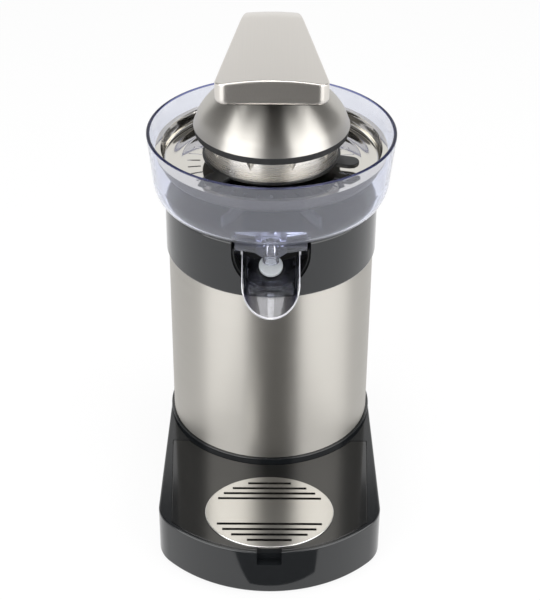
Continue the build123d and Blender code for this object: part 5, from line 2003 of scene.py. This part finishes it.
@dataclass
class PressLever(Assembly):
    """Steel lever that bends down to the hinge behind the bowl, and the hinge bracket."""

    core: Piece
    front_y: float = 50.0
    thick: float = 15.6
    half_front: float = 34.0
    half_rear: float = 11.9
    bend_y: float = 43.0
    bend_r: float = 50.0
    rear_thick: float = 12.5
    crown_r: float = 170.0
    shell: float = 1.2
    edge: float = 1.2
    front_edge: float = 8.0
    lower_edge: float = 2.6
    support: float = 0.8
    columns: int = 12
    collar_r: float = 66.45
    hinge_ear: float = 9.0
    hinge_y: float = 87.0
    bracket_half: float = 13.0
    knuckle_half: float = 7.0
    knuckle_room: float = 9.1
    bracket_h: float = 30.0
    bracket_edge: float = 0.6
    bracket_angle: float = 50.0
    pin_r: float = 3.05
    pin_steps: int = 36
    front_rows: tuple[float, ...] = (0.0, 0.08, 0.3, 0.7, 1.2, 2.0, 3.0, 4.2, 5.6, 7.0)
    front_share: float = 0.94
    flat_rows: int = 8
    bend_rows: int = 24
    edge_rows: int = 5
    least_edge: float = 0.2
    core_gap: float = 0.1
    core_rows: int = 12
    corner_past: float = 6.0
    cut_top: float = 400.0
    cut_half: float = 40.0

    def _half(self, y: float) -> float:
        """Half of the arm's width at a distance from the drive axis."""
        length = self.front_y + self.bend_y + self.bend_r
        return self.half_front - (self.half_front - self.half_rear) / length * (y + self.front_y)

    @staticmethod
    def _rounding(radius: float, depth: float) -> float:
        """How far a rounded edge stands back at a depth behind the face it runs into."""
        rest = max(radius - depth, 0.0)
        return radius - sqrt(max(radius * radius - rest * rest, 0.0))

    def _stations(self, inset: float) -> list[Station]:
        """Stations along the arm.

        Args:
            inset: how far the top, front and back are drawn in.

        Returns:
            The stations, from the arm's front end to its hinge end.
        """
        low, high = box_mm("lever_shell")
        top = high.z - inset
        low_z = high.z - self.thick
        bend_z = high.z - self.bend_r
        front = inset - self.front_y
        inner = self.bend_r - self.rear_thick
        outer = self.bend_r - inset
        run = self.bend_y - front
        depths = [*self.front_rows, self.front_edge, self.front_edge + 2]
        depths += [run * k / self.flat_rows for k in range(2, self.flat_rows + 1)]
        made = [Station(Vector((front + d, top)), Vector((front + d, low_z)), d, 1.0) for d in depths]
        for k in range(1, self.bend_rows + 1):
            a = pi / 2 * k / self.bend_rows
            over = Vector((self.bend_y + outer * sin(a), bend_z + outer * cos(a)))
            under = Vector((self.bend_y + inner * sin(a), bend_z + (low_z - bend_z) * cos(a)))
            made.append(Station(over, under, run, cos(a)))
        last = made[-1]
        end = low.z - (PAST if inset else 0.0)
        made.append(Station(Vector((last.top.x, end)), Vector((last.bottom.x, end)), run, 0.0))
        return made

    def _loop(self, station: Station, inset: float) -> list[Vector]:
        """Closed section of the arm at a station.

        Args:
            station: the station.
            inset: how far the sides are drawn in, and if not zero the bottom is open.

        Returns:
            The section's points.
        """
        top = station.top
        bottom = station.bottom
        upper = max(self.edge - inset, self.least_edge)
        lower = self.least_edge if inset else self.lower_edge
        aside = self._rounding(self.front_edge - inset, station.depth)
        wide = self._half(top.x) - inset - aside
        wide_low = self._half(bottom.x) - inset - aside
        tall = (bottom - top).length
        down = (bottom - top).normalized()
        start = self._rounding(upper, station.depth)
        end = tall + PAST if inset else tall - self._rounding(lower, station.depth)
        flat = wide - upper
        shares = [2 * j / self.columns - 1 for j in range(self.columns + 1)]
        across = [-flat, *[(flat - self.support) * share for share in shares], flat]
        section = [(x, start + station.crown * x * x / (2 * self.crown_r)) for x in across]
        shoulder = section[-1][1]
        turn = [pi / 2 * k / self.edge_rows for k in range(1, self.edge_rows + 1)]
        right = [(flat + upper * sin(a), shoulder + upper * (1 - cos(a))) for a in turn]
        foot = wide_low - lower
        right += [(foot + lower * cos(a), end - lower + lower * sin(a)) for a in [0.0, *turn]]
        left = [(-x, d) for x, d in reversed(right)]
        section += right + left
        return [Vector((x, top.x + down.x * d + self.axis_y, top.y + down.y * d)) for x, d in section]

    def _arm(self, name: str, inset: float) -> Piece:
        """Makes the arm as a filled piece.

        Args:
            name: the object's name.
            inset: how far its top, sides, front and back are drawn in.

        Returns:
            The arm.
        """
        loops = [self._loop(station, inset) for station in self._stations(inset)]
        middle = sum(loops[0], Vector()) / len(loops[0])
        loops.insert(0, [middle + (point - middle) * self.front_share for point in loops[0]])
        shape = bmesh.new()
        rows = [[shape.verts.new(point) for point in loop] for loop in loops]
        for row, following in zip(rows, rows[1:]):
            for a, b, c, d in zip(row, row[1:] + row[:1], following[1:] + following[:1], following):
                shape.faces.new((a, b, c, d))
        shape.faces.new(rows[0])
        shape.faces.new(rows[-1])
        return new_piece(name, shape)

    def build(self) -> None:
        """Makes the shell, the core and the bracket."""
        lever = self._arm("lever_skin", 0.0)
        combine(lever, [self._arm("room", self.shell)], "DIFFERENCE")
        dress(lever, self.finishes["lever_steel"], Body.LEVER, "lever_shell")
        self._core()
        self._bracket()

    def _core(self) -> None:
        """Makes the core, with its front corners cut to the skin's rounding."""
        shape = bmesh.new()
        shape.from_mesh(self.core.data)
        bmesh.ops.scale(shape, vec=(1 / MM, 1 / MM, 1 / MM), verts=shape.verts)
        core = new_piece("lever_filler", shape)
        inset = self.shell + self.core_gap
        radius = self.front_edge - inset
        front = inset - self.front_y
        bow = []
        for k in range(self.core_rows + 1):
            depth = radius * (1 - cos(pi / 2 * k / self.core_rows))
            half = self._half(front + depth) - inset - self._rounding(radius, depth)
            bow.append((half, front + depth))
        reach = self.half_front + self.corner_past
        before = front - self.corner_past
        plan = [*bow, (reach, front + radius), (reach, before), (bow[0][0], before)]
        cutters = []
        for side in (-1, 1):
            corner = [(side * x, y + self.axis_y) for x, y in plan]
            cutters.append(prism("corner", corner, 0.0, self.cut_top))
        combine(core, cutters, "DIFFERENCE")
        dress(core, self.finishes["satin_black_plastic"], Body.LEVER, "lever_core")

    def _bracket(self) -> None:
        """Makes the hinge bracket behind the collar."""
        pin_low, pin_high = box_mm("hinge_pin")
        hinge_z = (pin_low.z + pin_high.z) / 2
        hinge_y = self.axis_y + self.hinge_y
        root = hinge_z - self.bracket_h
        seat = self.axis_y + self.collar_r - self.hinge_ear
        outline = [
            (seat, root),
            (self.axis_y + self.collar_r + self.pin_r, root),
            *arc((hinge_y, hinge_z), self.hinge_ear, 0, 180, 24),
            (seat, hinge_z),
        ]
        bracket = prism("hinge_block", outline, -self.bracket_half, self.bracket_half, "X")
        behind = hinge_y + 3 * self.hinge_ear
        above = hinge_z + 2 * self.hinge_ear
        slot = [
            (hinge_y, hinge_z - self.knuckle_room),
            (behind, hinge_z - self.knuckle_room * 3),
            (behind, above),
            (hinge_y - self.knuckle_room, above),
            *arc((hinge_y, hinge_z), self.knuckle_room, 180, 260, 12),
        ]
        collar = [(0, 0), (self.collar_r, 0), (self.collar_r, self.cut_top), (0, self.cut_top)]
        pin = circle((hinge_y, hinge_z), self.pin_r, self.pin_steps)
        combine(
            bracket,
            [
                self.turned("collar", *collar),
                prism("slot", slot, -self.knuckle_half, self.knuckle_half, "X"),
                prism("bore", pin, -self.cut_half, self.cut_half, "X"),
            ],
            "DIFFERENCE",
        )
        round_edges(bracket, self.bracket_edge, angle=self.bracket_angle)
        dress(bracket, self.finishes["gloss_black_plastic"], Body.HOUSING, "hinge_bracket")


@dataclass
class ReturnSpring(Assembly):
    """Spring under the thrust bush. The press stroke shortens the real spring; here it rides whole on the
    press carriage.
    """

    wire_r: float = 0.55
    turns: float = 2.0
    gap: float = 0.02
    stroke: float = 1.5

    def build(self) -> None:
        """Winds the spring and dresses it."""
        low, high = box_mm("return_spring")
        steel = self.finishes["turned_steel"]
        foot = Vector((0, self.axis_y, low.z + self.wire_r + self.gap))
        spring = Coil().run(
            new_piece("return_coil", bmesh.new()),
            {
                "Turns": self.turns,
                "Radius": (high.x - self.wire_r) * MM,
                "Rise": (high.z - low.z - 2 * (self.wire_r + self.gap)) * MM,
                "Wire": self.wire_r * MM,
                "Foot": foot * MM,
                "Material": steel,
            },
        )
        dress(spring, steel, Body.CARRIAGE, "return_spring")
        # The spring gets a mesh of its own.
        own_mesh(spring)


@dataclass
class PackedPieces:
    """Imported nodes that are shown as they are."""

    finishes: Finishes
    nodes: dict[str, Piece]

    def build(self) -> None:
        """Gives each such node its finish."""
        groups = {
            "satin_black_plastic": (
                "spout_liner", "dome_liner", "bottom_cover", "cord_gland", "micro_switch",
            ),
            "black_rubber": ("rubber_feet", "shaft_seal"),
            "turned_steel": (
                "cover_screws", "tie_rods", "gearbox_screws", "motor_screws", "bracket_screws", "hinge_pin",
                "dome_pin", "dome_stud", "drive_shaft", "gear_axle",
            ),
            "natural_gear_plastic": (
                "compound_gear", "output_gear", "motor_pinion", "gearbox_plate", "gearbox_cover",
                "thrust_bush", "switch_plunger", "motor_end_plate",
            ),
            "stacked_iron": ("motor_stator", "motor_rotor"),
            "wound_copper": ("motor_coils",),
        }
        for finish, names in groups.items():
            for name in names:
                mesh = self.nodes[name].data
                mesh.materials.clear()
                mesh.materials.append(self.finishes[finish])
                LOG.info("%s: packed node in %s", name, finish)


@dataclass(frozen=True)
class SoftLamp:
    """Soft lamp: place from the drive axis at table height, width and height in metres, power in watts."""

    name: str
    place: Place
    wide: float
    tall: float
    power: float


@dataclass
class Studio:
    """Pale floor, soft lights and the camera."""

    axis_y: float
    focal: float = 91.67
    sensor: float = 36.0
    camera_place: Place = (-0.4, -842.0, 656.5)
    pitch: float = 32.742
    roll: float = 0.3266
    floor_size: float = 8.0
    world: float = 0.6
    dark_left: float = -24.0
    dark_right: float = 29.0
    floor_left: float = -25.0
    near_left: float = -14.0
    near_right: float = 37.0
    card_near: float = 160.0
    card_mid: float = 255.0
    card_far: float = 1050.0
    card_tall: float = 1500.0
    back_half: float = 1200.0
    back_low: float = 930.0
    back_high: float = 2200.0
    back_y: float = 1000.0
    side_x: float = 1000.0
    side_front: float = -100.0
    side_low: float = 430.0
    roof_half: float = 450.0
    roof_near: float = 350.0
    roof_z: float = 1500.0
    near_tone: str = "#494847"
    far_tone: str = "#626160"
    card_z: float = 0.5
    card_t: float = 0.5
    wall_t: float = 5.0
    card_rough: float = 0.9
    floor_t: float = 2.0
    floor_tone: str = "#f2f2f2"
    floor_glow: float = 0.88
    white: str = "#ffffff"
    aim_z: float = 0.15
    lamps: tuple[SoftLamp, ...] = (
        SoftLamp("left softbox", (-0.64, -0.68, 0.50), wide=1.05, tall=1.0, power=7.5),
        SoftLamp("right softbox", (0.82, -0.49, 0.50), wide=1.15, tall=1.0, power=7.9),
        SoftLamp("upper left lamp", (-0.25, 0.10, 1.25), wide=0.34, tall=0.8, power=3.0),
        SoftLamp("upper right lamp", (0.25, 0.10, 1.25), wide=0.34, tall=0.8, power=3.0),
    )

    def build(self) -> None:
        """Makes the floor, lights and camera."""
        scene = bpy.context.scene
        scene.view_settings.view_transform = "Standard"
        self._camera(scene)
        self._floor()
        self._world(scene)
        self._cards()
        for lamp in self.lamps:
            self._lamp(lamp)

    def _cards(self) -> None:
        """Makes the dark cards in front of, behind, beside and above the juicer."""
        near = self.axis_y - self.card_near
        mid = self.axis_y - self.card_mid
        far = self.axis_y - self.card_far
        left, right, floor_left = (
            tan(radians(angle)) for angle in (self.dark_left, self.dark_right, self.floor_left)
        )
        wedge = [
            (self.near_left, near),
            (floor_left * self.card_mid, mid),
            (floor_left * self.card_far, far),
            (right * self.card_far, far),
            (right * self.card_mid, mid),
            (self.near_right, near),
        ]
        low = self.card_z
        self._card(prism("front_card", wedge, low, low + self.card_t), self.near_tone)
        back = self.axis_y + self.back_y
        roof_near = self.axis_y - self.roof_near
        thick = self.wall_t
        side = self.side_x
        front = self.side_front
        boxes = {
            "camera_card": (
                (left * self.card_far, far - thick, low), (right * self.card_far, far, self.card_tall)
            ),
            "back_card": (
                (-self.back_half, back, self.back_low), (self.back_half, back + thick, self.back_high)
            ),
            "roof_card": (
                (-self.roof_half, far, self.roof_z), (self.roof_half, roof_near, self.roof_z + thick)
            ),
            "left_card": ((-side - thick, front, self.side_low), (-side, back, self.back_high)),
            "right_card": ((side, front, self.side_low), (side + thick, back, self.back_high)),
        }
        for name, (lowest, highest) in boxes.items():
            self._card(cuboid(name, lowest, highest), self.far_tone)

    def _camera(self, scene: bpy.types.Scene) -> None:
        """Makes the camera at the photo's angle.

        Args:
            scene: the scene that looks through it.
        """
        data = bpy.data.cameras.new("camera")
        data.lens = self.focal
        data.sensor_width = self.sensor
        data.sensor_fit = "AUTO"
        data.dof.use_dof = False
        data.clip_start = 0.01
        camera = bpy.data.objects.new("camera", data)
        scene.collection.objects.link(camera)
        x, y, z = self.camera_place
        place = Matrix.Translation(Vector((x, y + self.axis_y, z)) * MM)
        tilt = Matrix.Rotation(radians(90 - self.pitch), 4, "X")
        camera.matrix_world = place @ tilt @ Matrix.Rotation(radians(self.roll), 4, "Z")
        scene.camera = camera

    def _floor(self) -> None:
        """Makes the floor, which is pale to the eye and in reflections and still takes a shadow."""
        half = self.floor_size / 2 / MM
        floor = cuboid("floor", (-half, -half, -self.floor_t), (half, half, 0.0))
        material, tree = blank_material("pale_floor")
        seen = self._seen(tree)
        share = add_node(
            tree, "ShaderNodeMath", {0: seen, 1: self.floor_glow}, operation="MULTIPLY"
        )["Value"]
        matt = add_node(tree, "ShaderNodeBsdfDiffuse", {"Color": linear(self.floor_tone)})["BSDF"]
        glow = add_node(
            tree, "ShaderNodeEmission", {"Color": linear(self.white), "Strength": 1.0}
        )["Emission"]
        mixed = add_node(tree, "ShaderNodeMixShader", {0: share, 1: matt, 2: glow})["Shader"]
        add_node(tree, "ShaderNodeOutputMaterial", {"Surface": mixed})
        floor.data.materials.append(material)

    def _seen(self, tree: Tree) -> Socket:
        """Adds what tells rays to the eye, reflected and seen-through ones too, from rays of light.

        Args:
            tree: the node tree that gets the nodes.

        Returns:
            The socket, one for rays to the eye.
        """
        path = add_node(tree, "ShaderNodeLightPath")
        mirrored = add_node(
            tree, "ShaderNodeMath", {0: path["Is Camera Ray"], 1: path["Is Glossy Ray"]}, operation="MAXIMUM"
        )["Value"]
        return add_node(
            tree, "ShaderNodeMath", {0: mirrored, 1: path["Is Transmission Ray"]}, operation="MAXIMUM"
        )["Value"]

    def _card(self, card: Piece, tone: str) -> None:
        """Dresses a dark card that only reflections show, which gives the steel its dark bands.

        Args:
            card: the card.
            tone: its colour.
        """
        card.data.materials.append(Moulded(f"{card.name}_paper", tone, self.card_rough).build())
        card.visible_camera = False
        card.visible_diffuse = False
        card.visible_transmission = False
        card.visible_shadow = False

    def _world(self, scene: bpy.types.Scene) -> None:
        """Makes the even light around the scene, white to the eye.

        Args:
            scene: the scene.
        """
        world = bpy.data.worlds.new("studio")
        world.use_nodes = True
        tree = world.node_tree
        tree.nodes.clear()
        strength = add_node(
            tree, "ShaderNodeMapRange", {"Value": self._seen(tree), "To Min": self.world, "To Max": 1.0}
        )["Result"]
        sky = add_node(tree, "ShaderNodeBackground", {"Color": linear(self.white), "Strength": strength})
        add_node(tree, "ShaderNodeOutputWorld", {"Surface": sky["Background"]})
        scene.world = world

    def _lamp(self, lamp: SoftLamp) -> None:
        """Makes a soft lamp that faces the juicer.

        Args:
            lamp: the lamp's place, size and power.
        """
        data = bpy.data.lights.new(lamp.name, "AREA")
        data.shape = "RECTANGLE"
        data.size = lamp.wide
        data.size_y = lamp.tall
        data.energy = lamp.power
        light = bpy.data.objects.new(lamp.name, data)
        bpy.context.scene.collection.objects.link(light)
        target = Vector((0.0, self.axis_y * MM, self.aim_z))
        light.location = Vector(lamp.place) + Vector((0.0, self.axis_y * MM, 0.0))
        light.rotation_euler = (target - light.location).to_track_quat("-Z", "Y").to_euler()


def main() -> None:
    """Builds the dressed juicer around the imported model."""
    logging.basicConfig(level=logging.INFO, format="%(name)s: %(message)s")
    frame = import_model()
    sleeve_low, sleeve_high = box_mm("steel_sleeve")
    axis_y = (sleeve_low.y + sleeve_high.y) / 2
    top_z = sleeve_high.z + BodyColumn.collar_h
    finishes = Finishes(axis_y, box_mm("juice_bowl")[1].z, top_z, box_mm("lever_shell")[0].y)
    finishes.build()
    BaseUnit(finishes, axis_y).build()
    BodyColumn(finishes, axis_y).build()
    Spout(finishes, axis_y, top_z).build()
    JuiceBowl(finishes, axis_y, top_z).build()
    Reamer(finishes, axis_y).build()
    PressDome(finishes, axis_y).build()
    PressLever(finishes, axis_y, frame["nodes"]["lever_core"]).build()
    ReturnSpring(finishes, axis_y).build()
    PackedPieces(finishes, frame["nodes"]).build()
    Studio(axis_y).build()


if __name__ == "__main__":
    main()
